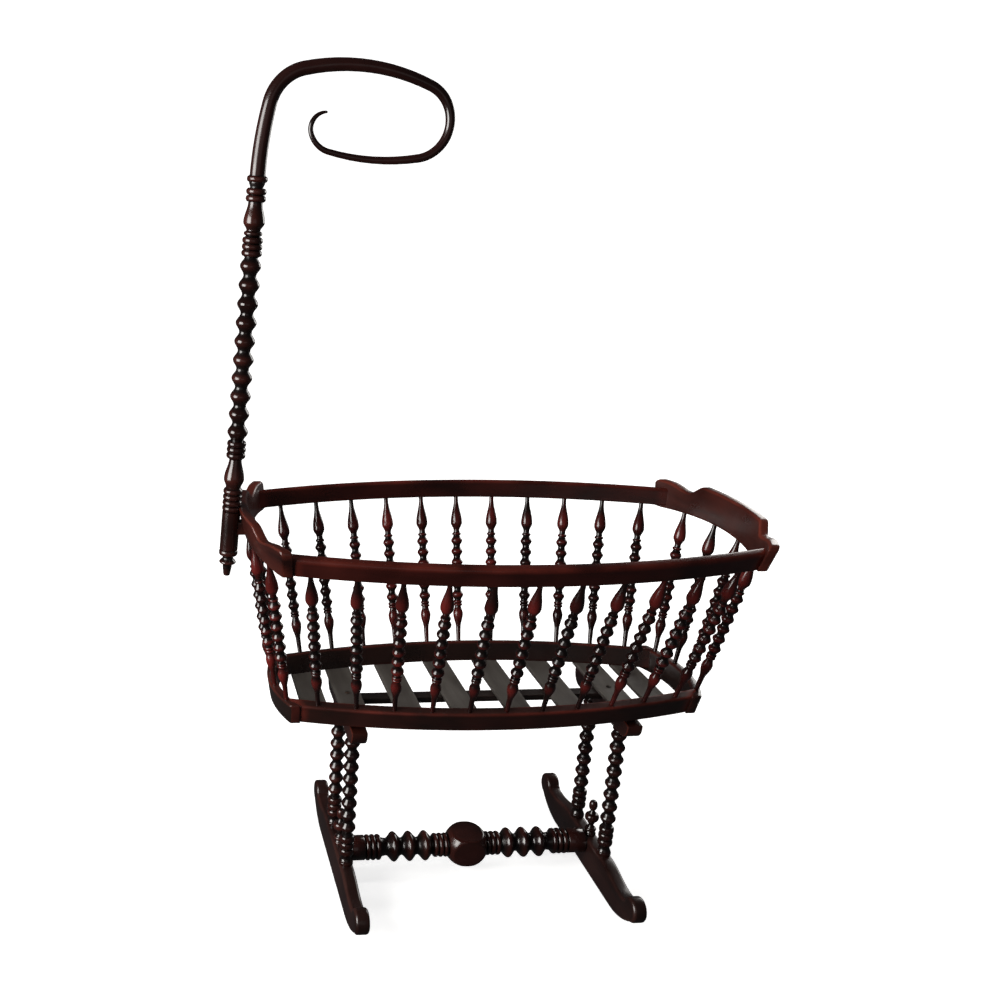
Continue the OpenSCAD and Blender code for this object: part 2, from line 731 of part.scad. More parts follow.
// A turned spindle with tenons: a thin neck, a vase, rings, six beads, a ring and a long vase
module spindle(a, b) {
    long = norm(b - a);
    tenon = spindle_tenon_d / 2;
    waist = spindle_waist_d / 2;
    belly = spindle_bead_d / 2;
    neck = waist - 0.5;
    ring = waist + 2.5;
    // Places up the spindle, as parts of its length
    ends = [0.01, 0.985] * long;
    low_vase = [0.09, 0.19, 0.242] * long;
    ring_height = 0.02 * long;
    beads_start = low_vase[2] + 2 * ring_height;
    beads_end = 0.732 * long;
    high_vase = [0.766, 0.82] * long;
    profile = concat(
        [[tenon, -spindle_tenon_length]],
        flow(ends[0], low_vase[0], tenon, tenon + 0.6, 2),
        flow(low_vase[0], low_vase[1], tenon + 0.6, spindle_low_vase_d / 2),
        flow(low_vase[1], low_vase[2], spindle_low_vase_d / 2, neck, 4),
        bead_row(low_vase[2], beads_start, 2, neck, ring, 4),
        wave_row(beads_start, beads_end, spindle_beads, waist, belly, 0.6),
        bead(beads_end, beads_end + ring_height, neck, ring, 4),
        flow(beads_end + ring_height, high_vase[0], neck, neck - 0.5, 2),
        flow(high_vase[0], high_vase[1], neck - 0.5, belly, 4),
        flow(high_vase[1], ends[1], belly, tenon),
        [[tenon, ends[1]], [tenon, long + spindle_tenon_length]]);
    color(dark_mahogany)
    from_to(a, b)
        turned(profile);
}

module side_spindle(i) spindle(side_foot(i), side_top(i));

module end_spindle_row()
    for (i = [1:end_spindles])
        spindle(end_foot(i), end_top(i));

// ---- Basket: floor ----

// A nail goes up through the slat into the rail, on the +Y side
module nail_place(x)
    translate([x, low_y(x) + nail_y_inset, slat_under_z])
        children();
module nail_hole(x)
    nail_place(x)
        translate([0, 0, -over])
            cylinder(r = nail_d / 2 + glue_clearance, h = nail_length + glue_clearance + over);

module slat_nails()
    color(iron)
    for (x = slat_places, side = [0, 1])
        mirror([0, side, 0])
            nail_place(x)
                cylinder(d = nail_d, h = nail_length);

// Screws hold the two slats over the caps to the keel's journals, and end below the axis
keel_screw_bite = 3;
keel_screw_bottom = axis_z - keel_screw_bite;
module keel_screw_hole()
    translate([trestle_reach, 0, keel_screw_bottom - glue_clearance])
        cylinder(r = screw_d / 2 + glue_clearance, h = slat_top_z - keel_screw_bottom + over);

module keel_screws() {
    head_under = slat_top_z - keel_screw_bottom;
    rim = 0.8;
    head = [for (t = [0:22.5:90])
        [screw_head_d / 2 * cos(t), head_under + rim + (screw_head_height - rim) * sin(t)]];
    color(iron)
    both_ends()
        translate([trestle_reach, 0, keel_screw_bottom])
            rotate_extrude()
                polygon(concat([[0, 0], [screw_d / 2, 0], [screw_d / 2, head_under]], head));
}

// All that lies on the inner side of the back rail's lip, at the height of the slats
module between_lips()
    translate([0, half_width_bottom - bow_radius_bottom, slat_under_z - over])
        cylinder(r = bow_radius_bottom + lip_inner - slat_end_gap, h = slat_thickness + 2 * over, $fn = fine);

// A slat's ends follow the lips of the two bottom rails
module slat(x) {
    color(slat_wood)
    difference() {
        intersection() {
            translate([x - slat_width / 2, -half_width_bottom, slat_under_z])
                cube([slat_width, 2 * half_width_bottom, slat_thickness]);
            between_lips();
            other_side() between_lips();
        }
        for (side = [0, 1])
            mirror([0, side, 0])
                nail_hole(x);
        both_ends() keel_screw_hole();
    }
}

// The keel stiffens the floor, and its round ends lie in the caps' saddles
module keel() {
    color(dark_mahogany)
    difference() {
        union() {
            translate([-keel_half, -keel_width / 2, slat_under_z - keel_depth])
                cube([2 * keel_half, keel_width, keel_depth]);
            translate([-journal_end, 0, axis_z])
                rotate([0, 90, 0])
                    cylinder(d = journal_d, h = 2 * journal_end);
        }
        both_ends() keel_screw_hole();
    }
}

// ---- Mast and crook ----

// Puts its child on the mast's axis, with Z = 0 at the tip of the pendant
module on_mast()
    translate([-mast_tip_reach, 0, mast_tip_z])
        rotate([0, mast_lean, 0])
            children();

// Rings of one size that follow each other up the mast
mast_ring_pitch = 12.5;
function mast_rings(start, count, belly) =
    bead_row(start, start + count * mast_ring_pitch, count, belly - 4.5, belly);
// A vase, widest at a third of its length
function mast_vase(start, end, low, belly, high) = let (widest = start + (end - start) * 0.29)
    concat(flow(start, widest, low, belly), flow(widest, end, belly, high, 7));

module mast() {
    plain = mast_plain_d / 2;
    ring = mast_ring_d / 2;
    belly = mast_bead_d / 2;
    waist = belly - 8.5;
    cup = 7.5;
    cup_z = 24;
    disc = ring - 2;
    disc_z = 32;
    disc_end = 42;
    low_ring = [mast_ring_at - 6, mast_ring_at + 6];
    rings_z = 147;
    low_vase_z = rings_z + 4 * mast_ring_pitch + 2;
    low_vase_length = 64;
    low_vase_end = low_vase_z + low_vase_length;
    row_z = low_vase_end + 3 * mast_ring_pitch;
    // The parts above the row of beads, counted down from the top
    rim_z = mast_length - 1;
    collar_z = mast_length - 13;
    neck_z = mast_length - 24;
    high_vase_end = mast_length - 51;
    high_vase_z = mast_length - 106;
    high_neck_z = mast_length - 116;
    high_rings_z = mast_length - 156;
    profile = concat(
        [[cup - 3, 0], [cup - 1, 1], [cup, 4]],
        flow(5, cup_z, cup + 0.5, cup + 2.5, 3),
        flow(cup_z, disc_z, cup + 2.5, disc, 4),
        flow(disc_z, disc_end, disc, cup + 4, 4),
        flow(disc_end + 1, low_ring[0], cup + 4, plain - 3, 2),
        bead(low_ring[0], low_ring[1], plain - 2, ring),
        [[plain - 2, low_ring[1]], [plain, low_ring[1] + 1], [plain, rings_z - 1]],
        mast_rings(rings_z, 4, ring + 0.5),
        mast_vase(low_vase_z, low_vase_end, plain - 3.5, belly, waist),
        mast_rings(low_vase_end, 3, ring),
        wave_row(row_z, high_rings_z, mast_beads, waist, belly),
        mast_rings(high_rings_z, 3, ring + 0.5),
        flow(high_rings_z + 3 * mast_ring_pitch, high_neck_z, ring - 4, waist + 1, 2),
        bead(high_neck_z, high_vase_z - 1, waist + 1, ring - 1.5, 5),
        mast_vase(high_vase_z, high_vase_end, waist + 1, belly, waist + 1.5),
        bead_row(high_vase_end, neck_z, 2, waist + 1.5, ring),
        flow(neck_z, collar_z, waist, ring - 4, 4),
        bead(collar_z, rim_z, ring - 4, ring + 0.5),
        [[plain - 3, rim_z], [plain - 3, mast_length]]);
    color(dark_mahogany)
    difference() {
        on_mast() turned(profile);
        on_mast()
            translate([0, 0, mast_length - crook_tenon_length - glue_clearance])
                cylinder(r = crook_tenon_d / 2 + glue_clearance, h = crook_tenon_length + over);
        other_end() inside_board(glue_clearance, crest_z + glue_clearance);
        mast_screw_holes();
    }
}

// The packing block between the headboard's outer face and the mast
module mast_block() {
    color(mahogany)
    difference() {
        translate([-mast_mid_reach, -mast_block_width / 2, block_under_z])
            cube([mast_plain_d / 2 + mast_block_depth + board_thickness, mast_block_width,
                  block_top_z - block_under_z]);
        on_mast() cylinder(d = mast_plain_d, h = mast_length);
        other_end() inside_board(0, crest_z);
        mast_screw_holes();
    }
}

// All that lies inside a board's outer face, moved out by a gap, up to a height
module inside_board(gap, high_z) {
    radius = board_bow_radius + (board_thickness + gap) / cos(board_lean);
    low = -cut / 2;
    high = high_z - board_under_z;
    translate([board_reach - board_bow_radius, 0, board_under_z])
        rotate_extrude($fn = fine)
            polygon([[0, low], [radius + low * tan(board_lean), low], [radius + high * tan(board_lean), high],
                     [0, high]]);
}

// Two screws run from the headboard's inner face through the block into the mast
mast_screw_inset = 7; // from the block's ends
mast_screw_heights = [block_under_z + mast_screw_inset, block_top_z - mast_screw_inset];
module mast_screw_places()
    for (z = mast_screw_heights)
        translate([-board_x(z, 0, 0), 0, z])
            rotate([0, -90, 0])
                children();
module mast_screw_holes()
    mast_screw_places()
        translate([0, 0, -2 * over])
            cylinder(r = screw_d / 2 + glue_clearance, h = mast_screw_length + glue_clearance + 2 * over);

module mast_screws()
    color(iron) {
        mast_screw_places()
            translate([0, 0, -screw_head_height])
                cylinder(d = screw_d, h = mast_screw_length + screw_head_height);
        difference() {
            mast_screw_places()
                translate([0, 0, -screw_head_height])
                    cylinder(d = screw_head_d - 2, h = 2 * screw_head_height);
            other_end() beyond_board(0);
        }
    }

// The crook: arcs of [radius, turn in degrees], each following the last
crook_arcs = [[crook_shaft_radius, 10.6], [crook_shoulder_radius, 64], [crook_top_radius, 36],
    [crook_far_radius, 147], [crook_low_radius, 24], [crook_curl_radius, 59], [crook_tip_radius, 104]];
crook_step = 8;
crook_sides = 16;

// Steps along the crook as [place along X, height, heading, length so far]
function crook_arc(from, radius, turn, count) =
    [for (k = [1:count]) let (h = from[2] + turn * k / count)
        [from[0] + radius * (cos(from[2]) - cos(h)), from[1] + radius * (sin(h) - sin(from[2])),
         h, from[3] + radius * turn * PI / 180 * k / count]];
function crook_path(i = 0, from = [0, 0, 0, 0]) =
    i == len(crook_arcs) ? [from] :
    let (arc = crook_arc(from, crook_arcs[i][0], crook_arcs[i][1], max(3, ceil(crook_arcs[i][1] / crook_step))))
    concat([from], [for (k = [0:len(arc) - 2]) arc[k]], crook_path(i + 1, arc[len(arc) - 1]));

module crook() {
    path = crook_path();
    long = path[len(path) - 1][3];
    tip = path[len(path) - 1];
    taper = 1.15;
    rounding = [[0.25, 0.85], [0.45, 0.5]]; // the rounded end, as parts of the tip's diameter and radius
    tenon_root = 5; // how far the tenon is drawn up into the rod
    stations = concat(
        [for (p = path) [p[0], p[1], p[2], crook_d / 2 + (crook_tip_d - crook_d) / 2 * pow(p[3] / long, taper)]],
        [for (r = rounding) [tip[0] + r[0] * crook_tip_d * sin(tip[2]), tip[1] + r[0] * crook_tip_d * cos(tip[2]),
                             tip[2], crook_tip_d / 2 * r[1]]]);
    rings = len(stations);
    points = [for (s = stations, j = [0:crook_sides - 1]) let (a = 360 * j / crook_sides)
        [s[0] + s[3] * cos(a) * cos(s[2]), s[3] * sin(a), s[1] - s[3] * cos(a) * sin(s[2])]];
    function at(ring, j) = ring * crook_sides + j % crook_sides;
    walls = [for (ring = [0:rings - 2], j = [0:crook_sides - 1])
        each [[at(ring, j), at(ring + 1, j), at(ring + 1, j + 1)],
              [at(ring, j), at(ring + 1, j + 1), at(ring, j + 1)]]];
    start = [[for (j = [0:crook_sides - 1]) at(0, j)]];
    end = [[for (j = [crook_sides - 1:-1:0]) at(rings - 1, j)]];
    color(mahogany)
    on_mast()
        translate([0, 0, mast_length]) {
            polyhedron(points, concat(walls, start, end), convexity = 6);
            translate([0, 0, -crook_tenon_length])
                cylinder(d = crook_tenon_d, h = crook_tenon_length + tenon_root);
        }
}

// ---- The assembly ----

side_numbers = [for (i = [1:side_spindles]) i];
slat_numbers = [for (i = [1:len(slat_places)]) i];

module placed() translate([middle_shift, 0, 0]) children();

placed() other_end() foot();  // head_foot
placed() foot();  // foot_foot
placed() other_end() cap();  // head_cap
placed() cap();  // foot_cap
placed() other_end() other_side() post();  // head_front_post
placed() other_end() post();  // head_back_post
placed() other_side() post();  // foot_front_post
placed() post();  // foot_back_post
placed() other_end() finial();  // head_finial
placed() finial();  // foot_finial
placed() lower_stretcher();
placed() keel();
placed() keel_screws();
placed() slat_nails();
placed() other_side() bottom_rail();  // front_bottom_rail
placed() bottom_rail();  // back_bottom_rail
placed() other_side() top_rail();  // front_top_rail
placed() top_rail();  // back_top_rail
placed() headboard();
placed() footboard();
placed() other_end() low_board();  // head_low_board
placed() low_board();  // foot_low_board
placed() other_end() end_spindle_row();  // head_spindles
placed() end_spindle_row();  // foot_spindles
placed() mast();
placed() mast_block();
placed() mast_screws();
placed() crook();
for (i = slat_numbers)
    placed() slat(slat_places[i - 1]);
for (i = side_numbers)
    placed() other_side() side_spindle(i);
for (i = side_numbers)
    placed() side_spindle(i);
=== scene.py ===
import math
import random
from collections import namedtuple

import bpy
import numpy as np
from mathutils import Matrix, Vector


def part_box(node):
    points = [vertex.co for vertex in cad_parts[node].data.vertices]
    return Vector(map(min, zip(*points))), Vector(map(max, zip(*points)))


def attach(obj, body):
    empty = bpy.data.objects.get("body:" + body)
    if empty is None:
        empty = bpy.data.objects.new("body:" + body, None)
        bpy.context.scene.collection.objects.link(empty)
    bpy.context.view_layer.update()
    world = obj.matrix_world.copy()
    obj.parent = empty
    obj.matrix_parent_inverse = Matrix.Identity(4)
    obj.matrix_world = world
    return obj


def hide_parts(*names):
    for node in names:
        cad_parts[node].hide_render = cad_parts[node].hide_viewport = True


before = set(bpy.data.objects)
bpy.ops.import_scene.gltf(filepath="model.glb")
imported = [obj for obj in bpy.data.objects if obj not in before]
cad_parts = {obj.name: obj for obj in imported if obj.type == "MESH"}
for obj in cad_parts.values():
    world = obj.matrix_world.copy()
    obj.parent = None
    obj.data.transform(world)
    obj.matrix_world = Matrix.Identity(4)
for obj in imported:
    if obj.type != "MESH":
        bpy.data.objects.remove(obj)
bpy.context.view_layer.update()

# ---- The studio ----
# A round pale floor that curves up into a wall all around and glows a little, a large soft window on the
# left, and less light from the front, behind and overhead. The camera stands where the photograph was taken.

STAND_MIDDLE = (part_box("head_foot")[0].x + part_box("foot_foot")[1].x) / 2

IMAGE_WIDTH = 994
IMAGE_HEIGHT = 995
FOCAL_PIXELS = 1114.8
OPTICAL_CENTRE = (238.4, 502.5)
CAMERA_PLACE = Vector((STAND_MIDDLE - 0.7856, -2.2618, 1.6037))
CAMERA_YAW = 0.0975
CAMERA_PITCH = 0.2915
CAMERA_ROLL = 0.0216


def camera():
    forward = Vector((math.sin(CAMERA_YAW) * math.cos(CAMERA_PITCH),
                      math.cos(CAMERA_YAW) * math.cos(CAMERA_PITCH), -math.sin(CAMERA_PITCH)))
    level = Vector((math.cos(CAMERA_YAW), -math.sin(CAMERA_YAW), 0))
    above = level.cross(forward)
    right = math.cos(CAMERA_ROLL) * level + math.sin(CAMERA_ROLL) * above
    up = math.cos(CAMERA_ROLL) * above - math.sin(CAMERA_ROLL) * level
    data = bpy.data.cameras.new("camera")
    data.sensor_fit = "HORIZONTAL"
    data.sensor_width = 36
    data.lens = data.sensor_width * FOCAL_PIXELS / IMAGE_WIDTH
    data.shift_x = (IMAGE_WIDTH / 2 - OPTICAL_CENTRE[0]) / IMAGE_WIDTH
    data.shift_y = (OPTICAL_CENTRE[1] - IMAGE_HEIGHT / 2) / IMAGE_WIDTH
    data.clip_end = 50
    made = bpy.data.objects.new("camera", data)
    turn = Matrix((right, up, -forward)).transposed()
    made.matrix_world = Matrix.Translation(CAMERA_PLACE) @ turn.to_4x4()
    bpy.context.scene.collection.objects.link(made)
    bpy.context.scene.camera = made


def area_light(name, place, target, size, power, glossy=True):
    data = bpy.data.lights.new(name, "AREA")
    data.shape = "RECTANGLE"
    data.size, data.size_y = size
    data.energy = power
    data.color = (1.0, 0.98, 0.95)
    made = bpy.data.objects.new(name, data)
    way = Vector(target) - Vector(place)
    made.matrix_world = Matrix.Translation(place) @ way.to_track_quat("-Z", "Y").to_matrix().to_4x4()
    made.visible_glossy = glossy
    bpy.context.scene.collection.objects.link(made)


def skinned(rings):
    """The faces that close a row of equal rings into one solid."""
    count = len(rings[0])
    last = (len(rings) - 1) * count
    faces = [tuple(range(count))[::-1], tuple(range(last, last + count))]
    for i in range(len(rings) - 1):
        for j in range(count):
            a, b = i * count + j, i * count + (j + 1) % count
            faces.append((a, b, b + count, a + count))
    return faces


def floor_and_wall():
    middle_radius, floor_radius, bend, wall_top = 1.0, 4.6, 2.0, 8.0
    sides, bend_steps = 96, 16
    line = [(middle_radius, 0.0), (floor_radius, 0.0)]
    line += [(floor_radius + bend * math.sin(a), bend * (1 - math.cos(a)))
             for a in np.linspace(0, math.pi / 2, bend_steps + 1)[1:]]
    line += [(floor_radius + bend, wall_top)]
    turn = np.arange(sides) * 2 * math.pi / sides
    rings = [[(r * math.cos(a), r * math.sin(a), z) for a in turn] for r, z in line]
    mesh = bpy.data.meshes.new("studio_floor")
    mesh.from_pydata([point for ring in rings for point in ring], [], skinned(rings))
    mesh.polygons.foreach_set("use_smooth", [True] * len(mesh.polygons))
    paint = bpy.data.materials.new("studio_paint")
    paint.use_nodes = True
    shader = paint.node_tree.nodes["Principled BSDF"]
    shader.inputs["Base Color"].default_value = (0.8, 0.8, 0.8, 1)
    shader.inputs["Roughness"].default_value = 0.9
    shader.inputs["Specular IOR Level"].default_value = 0.1
    shader.inputs["Emission Color"].default_value = (1, 1, 1, 1)
    shader.inputs["Emission Strength"].default_value = 0.76
    mesh.materials.append(paint)
    made = bpy.data.objects.new("studio_floor", mesh)
    made.visible_glossy = False
    made.visible_diffuse = False
    made.visible_shadow = False
    bpy.context.scene.collection.objects.link(made)


camera()
floor_and_wall()
area_light("side_window", place=(-3.3, -1.35, 1.5), target=(0, 0, 0.7), size=(2.3, 2.5), power=165)
area_light("front_fill", place=(-0.5, -3.6, 1.4), target=(0, 0, 0.5), size=(2.5, 2.0), power=2.5)
area_light("far_window", place=(3.2, 2.6, 2.0), target=(0, 0, 0.7), size=(2.0, 2.0), power=45)
area_light("ceiling", place=(0, -0.4, 4.2), target=(0, 0.3, 0), size=(4.5, 4.5), power=16, glossy=False)
area_light("wall_light", place=(0.8, 1.2, 4.6), target=(0.8, 5.0, 1.4), size=(7.0, 1.0), power=190,
           glossy=False)
world = bpy.data.worlds.new("studio_air")
world.use_nodes = True
world.node_tree.nodes["Background"].inputs["Color"].default_value = (0.95, 0.96, 1.0, 1)
world.node_tree.nodes["Background"].inputs["Strength"].default_value = 0.03
bpy.context.scene.world = world
bpy.context.scene.view_settings.view_transform = "Standard"

# ---- Feet ----
# Two planks of dark stained hardwood, sawn to a long outline with a raised round toe at each end and
# a flat middle. Their edges are well rounded, and shoes have rubbed them paler.

MM = 0.001
FOOT_ROUNDING = 7.5 * MM

# A mesh to be: its points, its faces, and for each point its wear and painted shade, and its place in the
# grain
Shape = namedtuple("Shape", "points faces worn grain")


def node(tree, kind, inputs=None, **settings):
    made = tree.nodes.new(kind)
    for key, value in settings.items():
        setattr(made, key, value)
    for key, value in (inputs or {}).items():
        if isinstance(value, bpy.types.NodeSocket):
            tree.links.new(value, made.inputs[key])
        else:
            made.inputs[key].default_value = value
    return made


def colour_mix(tree, share, first, second):
    """A mix of two colours. The node's sockets share their names with others, so they go by number."""
    share_in, first_in, second_in, colour_out = 0, 6, 7, 2
    made = node(tree, "ShaderNodeMix", data_type="RGBA")
    for socket, value in ((share_in, share), (first_in, first), (second_in, second)):
        if isinstance(value, bpy.types.NodeSocket):
            tree.links.new(value, made.inputs[socket])
        else:
            made.inputs[socket].default_value = (*value, 1)
    return made.outputs[colour_out]


def remap(tree, value, low, high, to_low=0.0, to_high=1.0):
    return node(tree, "ShaderNodeMapRange", {"Value": value, "From Min": low, "From Max": high,
                                             "To Min": to_low, "To Max": to_high}).outputs["Result"]


def add(tree, first, second):
    return node(tree, "ShaderNodeMath", {0: first, 1: second}, operation="ADD").outputs[0]


def times(tree, first, second):
    return node(tree, "ShaderNodeMath", {0: first, 1: second}, operation="MULTIPLY").outputs[0]


def darker(colour, share):
    return tuple(c * share for c in colour)


def polished_wood(name, deep, warm, rubbed, gloss=0.24, coat=0.4, rub=0.25):
    """Stained and polished hardwood, its grain running along the third part of the grain attribute. The
    attribute of wear and shade is 1 where hands have rubbed it and below 0 in hollows, painted darker as
    shade.
    Gloss is its roughness, coat the strength of its polish, and rub the wear of its plain places."""
    made = bpy.data.materials.new(name)
    made.use_nodes = True
    tree = made.node_tree
    shader = tree.nodes["Principled BSDF"]
    place = node(tree, "ShaderNodeAttribute", attribute_name="grain").outputs["Vector"]
    worn = node(tree, "ShaderNodeAttribute", attribute_name="worn").outputs["Fac"]

    def noise(across, along, detail, roughness, distortion=0.0):
        stretched = node(tree, "ShaderNodeVectorMath", {0: place, 1: (across, across, along)},
                         operation="MULTIPLY").outputs[0]
        return node(tree, "ShaderNodeTexNoise",
                    {"Vector": stretched, "Scale": 1.0, "Detail": detail, "Roughness": roughness,
                     "Distortion": distortion}).outputs["Fac"]

    figure = noise(across=24, along=4, detail=2, roughness=0.5, distortion=0.6)
    fibre = noise(across=430, along=9, detail=5, roughness=0.65)
    pores = noise(across=1000, along=40, detail=2, roughness=0.5)
    blotch = noise(across=13, along=8, detail=2, roughness=0.45)
    smears = noise(across=70, along=30, detail=3, roughness=0.6, distortion=0.5)
    dents = noise(across=110, along=70, detail=3, roughness=0.5)

    colour = colour_mix(tree, remap(tree, figure, 0.3, 0.7), deep, warm)
    colour = colour_mix(tree, remap(tree, fibre, 0.4, 0.75, 0.0, 0.3), colour, darker(deep, 0.4))
    share = times(tree, add(tree, worn, rub), remap(tree, blotch, 0.32, 0.68, 0.05, 1.25))
    colour = colour_mix(tree, remap(tree, share, 0.0, 1.0), colour, rubbed)
    colour = colour_mix(tree, remap(tree, pores, 0.62, 0.8, 0.0, 0.35), colour, darker(deep, 0.3))
    # Painted shade: where the wear attribute is below 0, in the hollows of turned pieces, the colour is
    # pulled towards a darker deep colour, as if shade fell there; the roughness is raised a little there too.
    painted_hollow_shade = times(tree, remap(tree, worn, 0.0, -0.8), remap(tree, smears, 0.3, 0.6, 0.5, 1.0))
    colour = colour_mix(tree, painted_hollow_shade, colour, darker(deep, 0.35))
    tree.links.new(colour, shader.inputs["Base Color"])

    roughness = add(tree, remap(tree, blotch, 0.3, 0.75, gloss - 0.05, gloss + 0.1),
                    times(tree, painted_hollow_shade, remap(tree, smears, 0.4, 0.8, 0.08, 0.14)))
    tree.links.new(roughness, shader.inputs["Roughness"])
    tree.links.new(remap(tree, smears, 0.35, 0.7, coat, coat * 0.45), shader.inputs["Coat Weight"])
    shader.inputs["Coat Roughness"].default_value = 0.13
    height = add(tree, times(tree, remap(tree, fibre, 0.2, 0.8), 0.4),
                 times(tree, remap(tree, dents, 0.3, 0.75), 1.3))
    bump = node(tree, "ShaderNodeBump", {"Strength": 0.1, "Distance": 0.0009, "Height": height})
    tree.links.new(bump.outputs["Normal"], shader.inputs["Normal"])
    return made


def finished(name, shape, material, body, nodes=None, sharp=38, uneven=0.12):
    """Makes a piece of wood from its shape, in place of the CAD node of its name or of the nodes given.
    Each piece is cut from its own place in the tree, so its grain starts at a random spot. Uneven is how
    far its wear may differ from others', and sharp is the least angle in degrees that shows as an edge."""
    nodes = nodes or [name.removeprefix("cradle_")]
    chance = random.Random(name)
    tree_size = 9
    spot = [chance.uniform(-tree_size, tree_size) for _ in range(3)]
    # The wear values also carry the painted shade of hollows, as values below 0.
    wear = np.array(shape.worn, float) + chance.uniform(-uneven, uneven)
    mesh = bpy.data.meshes.new(name)
    mesh.from_pydata([tuple(p) for p in shape.points], [], shape.faces)
    mesh.attributes.new("worn", "FLOAT", "POINT").data.foreach_set("value", wear)
    grain = np.array(shape.grain, float) + spot
    mesh.attributes.new("grain", "FLOAT_VECTOR", "POINT").data.foreach_set("vector", grain.ravel())
    mesh.polygons.foreach_set("use_smooth", [True] * len(mesh.polygons))
    mesh.set_sharp_from_angle(angle=math.radians(sharp))
    mesh.materials.append(material)
    made = bpy.data.objects.new(name, mesh)
    bpy.context.scene.collection.objects.link(made)
    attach(made, body)
    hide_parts(*nodes)


def moved(shape, matrix):
    turn = np.array(matrix)
    return shape._replace(points=np.array(shape.points) @ turn[:3, :3].T + turn[:3, 3])


def flipped(shape):
    return shape._replace(faces=[f[::-1] for f in shape.faces])


def inset(outline, by):
    """A closed outline drawn in by a distance, corner by corner."""
    points = np.array(outline)
    before = points - np.roll(points, 1, 0)
    after = np.roll(points, -1, 0) - points
    unit = [d / np.linalg.norm(d, axis=1)[:, None] for d in (before, after)]
    inward = [np.stack([-d[:, 1], d[:, 0]], 1) for d in unit]
    middle = inward[0] + inward[1]
    middle /= np.linalg.norm(middle, axis=1)[:, None]
    return points + by * middle / np.clip((middle * inward[0]).sum(1), 0.5, 1)[:, None]


def sawn(outline, high_x, thickness, rounding, steps=5):
    """A plank across the cradle, from an outline drawn anticlockwise, with its edges rounded over."""
    levels = []
    for k in range(steps + 1):
        turn = math.pi / 2 * k / steps
        levels.append((rounding * (1 - math.sin(turn)), rounding * (1 - math.cos(turn)),
                       math.sin(2 * turn)))
    levels += [(d, thickness - t, w) for d, t, w in reversed(levels)]
    rings = []
    worn = []
    for by, depth, rubbed in levels:
        ring = inset(outline, by)
        rings.append(np.column_stack([np.full(len(ring), high_x - depth), ring]))
        worn += [rubbed] * len(ring)
    points = np.vstack(rings)
    return flipped(Shape(points, skinned(rings), worn, points[:, (0, 2, 1)]))


def mirrored(half):
    """A closed outline from its half on the +Y side, listed from the bottom middle to the top middle."""
    middle = 1e-9
    return half + [(-y, z) for y, z in reversed(half) if y > middle]


DARK_DEEP = (0.0082, 0.0030, 0.0024)
DARK_WARM = (0.015, 0.0040, 0.0032)
DARK_RUBBED = (0.055, 0.0110, 0.0075)
plank_wood = polished_wood("dark_plank_wood", DARK_DEEP, DARK_WARM, (0.042, 0.015, 0.012),
                           gloss=0.32, coat=0.5)


def foot_outline():
    toe_y, toe_z, toe_r, toe_start, toe_end = 262 * MM, 60 * MM, 28 * MM, -73, 160
    hollow = ((28.6, 5.5), (31.5, 2.2), (36, 0.4))  # behind the toe: (in from its middle, above the dip)
    sole_half, sole_r, sole_turn = 167 * MM, 171.43 * MM, math.radians(35.9)
    dip_y, slope_y, dip_z, top_z = 205 * MM, 100 * MM, 64 * MM, 80 * MM
    half = [(0.0, 0.0), (sole_half / 2, 0.0)]
    half += [(sole_half + sole_r * math.sin(a), sole_r * (1 - math.cos(a)))
             for a in np.linspace(0, sole_turn, 10)]
    half += [(toe_y + toe_r * math.cos(a), toe_z + toe_r * math.sin(a))
             for a in np.radians(np.linspace(toe_start, toe_end, 25))]
    half += [(toe_y - inwards * MM, dip_z + above * MM) for inwards, above in hollow]
    half += [(dip_y + (slope_y - dip_y) * t, dip_z + (top_z - dip_z) * (1 - math.cos(math.pi * t)) / 2)
             for t in np.linspace(0, 1, 15)]
    half += [(slope_y / 2, top_z), (0.0, top_z)]
    return mirrored(half)


for end in ("head", "foot"):
    node_name = end + "_foot"
    low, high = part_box(node_name)
    finished("cradle_" + node_name, sawn(foot_outline(), high.x, high.x - low.x, FOOT_ROUNDING),
             plank_wood, "stand")

# ---- Posts ----
# Four turned posts, tenoned into the feet and the caps: a base ring, three small rings and a row of
# eight beads. The lathe left each bead with a soft peak; the necks between them are painted darker as shade.


def bead(z0, z1, r0, r1, steps=9):
    """A round bead from height z0 to z1 that swells from radius r0 to r1, without its last point."""
    return [(r0 + (r1 - r0) * math.cos(a), (z0 + z1) / 2 + (z1 - z0) / 2 * math.sin(a))
            for a in np.linspace(-math.pi / 2, math.pi / 2, steps + 1)[:-1]]


def beads(z0, z1, count, r0, r1, steps=9):
    """A row of round beads."""
    pitch = (z1 - z0) / count
    return [p for i in range(count) for p in bead(z0 + i * pitch, z0 + (i + 1) * pitch, r0, r1, steps)]


def waves(z0, z1, count, r0, r1, peak=1.0, steps=14):
    """A row of beads with hollow necks between them. A higher peak makes them sharper."""
    return [(r0 + (r1 - r0) * ((1 - math.cos(2 * math.pi * k / steps)) / 2) ** peak,
             z0 + (z1 - z0) * k / (count * steps)) for k in range(count * steps)]


def flow(z0, z1, r0, r1, steps=10):
    """A smooth change from radius r0 to r1."""
    return [(r0 + (r1 - r0) * (1 - math.cos(math.pi * k / steps)) / 2, z0 + (z1 - z0) * k / steps)
            for k in range(steps)]


def swell(z0, z1, r0, r1, steps=10):
    """A flow on a vase, with a third number that says how rubbed it is: most at its belly."""
    line = flow(z0, z1, r0, r1, steps)
    thin, thick = min(r0, r1), max(r0, r1)
    belly_wear, narrowing = 0.7, 1.5
    return [(r, z, belly_wear * ((r - thin) / (thick - thin)) ** narrowing) for r, z in line]


def fillet(z0, z1, r):
    """A short cylinder with eased edges."""
    ease = min(0.6, (z1 - z0) / 4)
    return [(r - ease, z0), (r, z0 + ease), (r, z1 - ease), (r - ease, z1)]


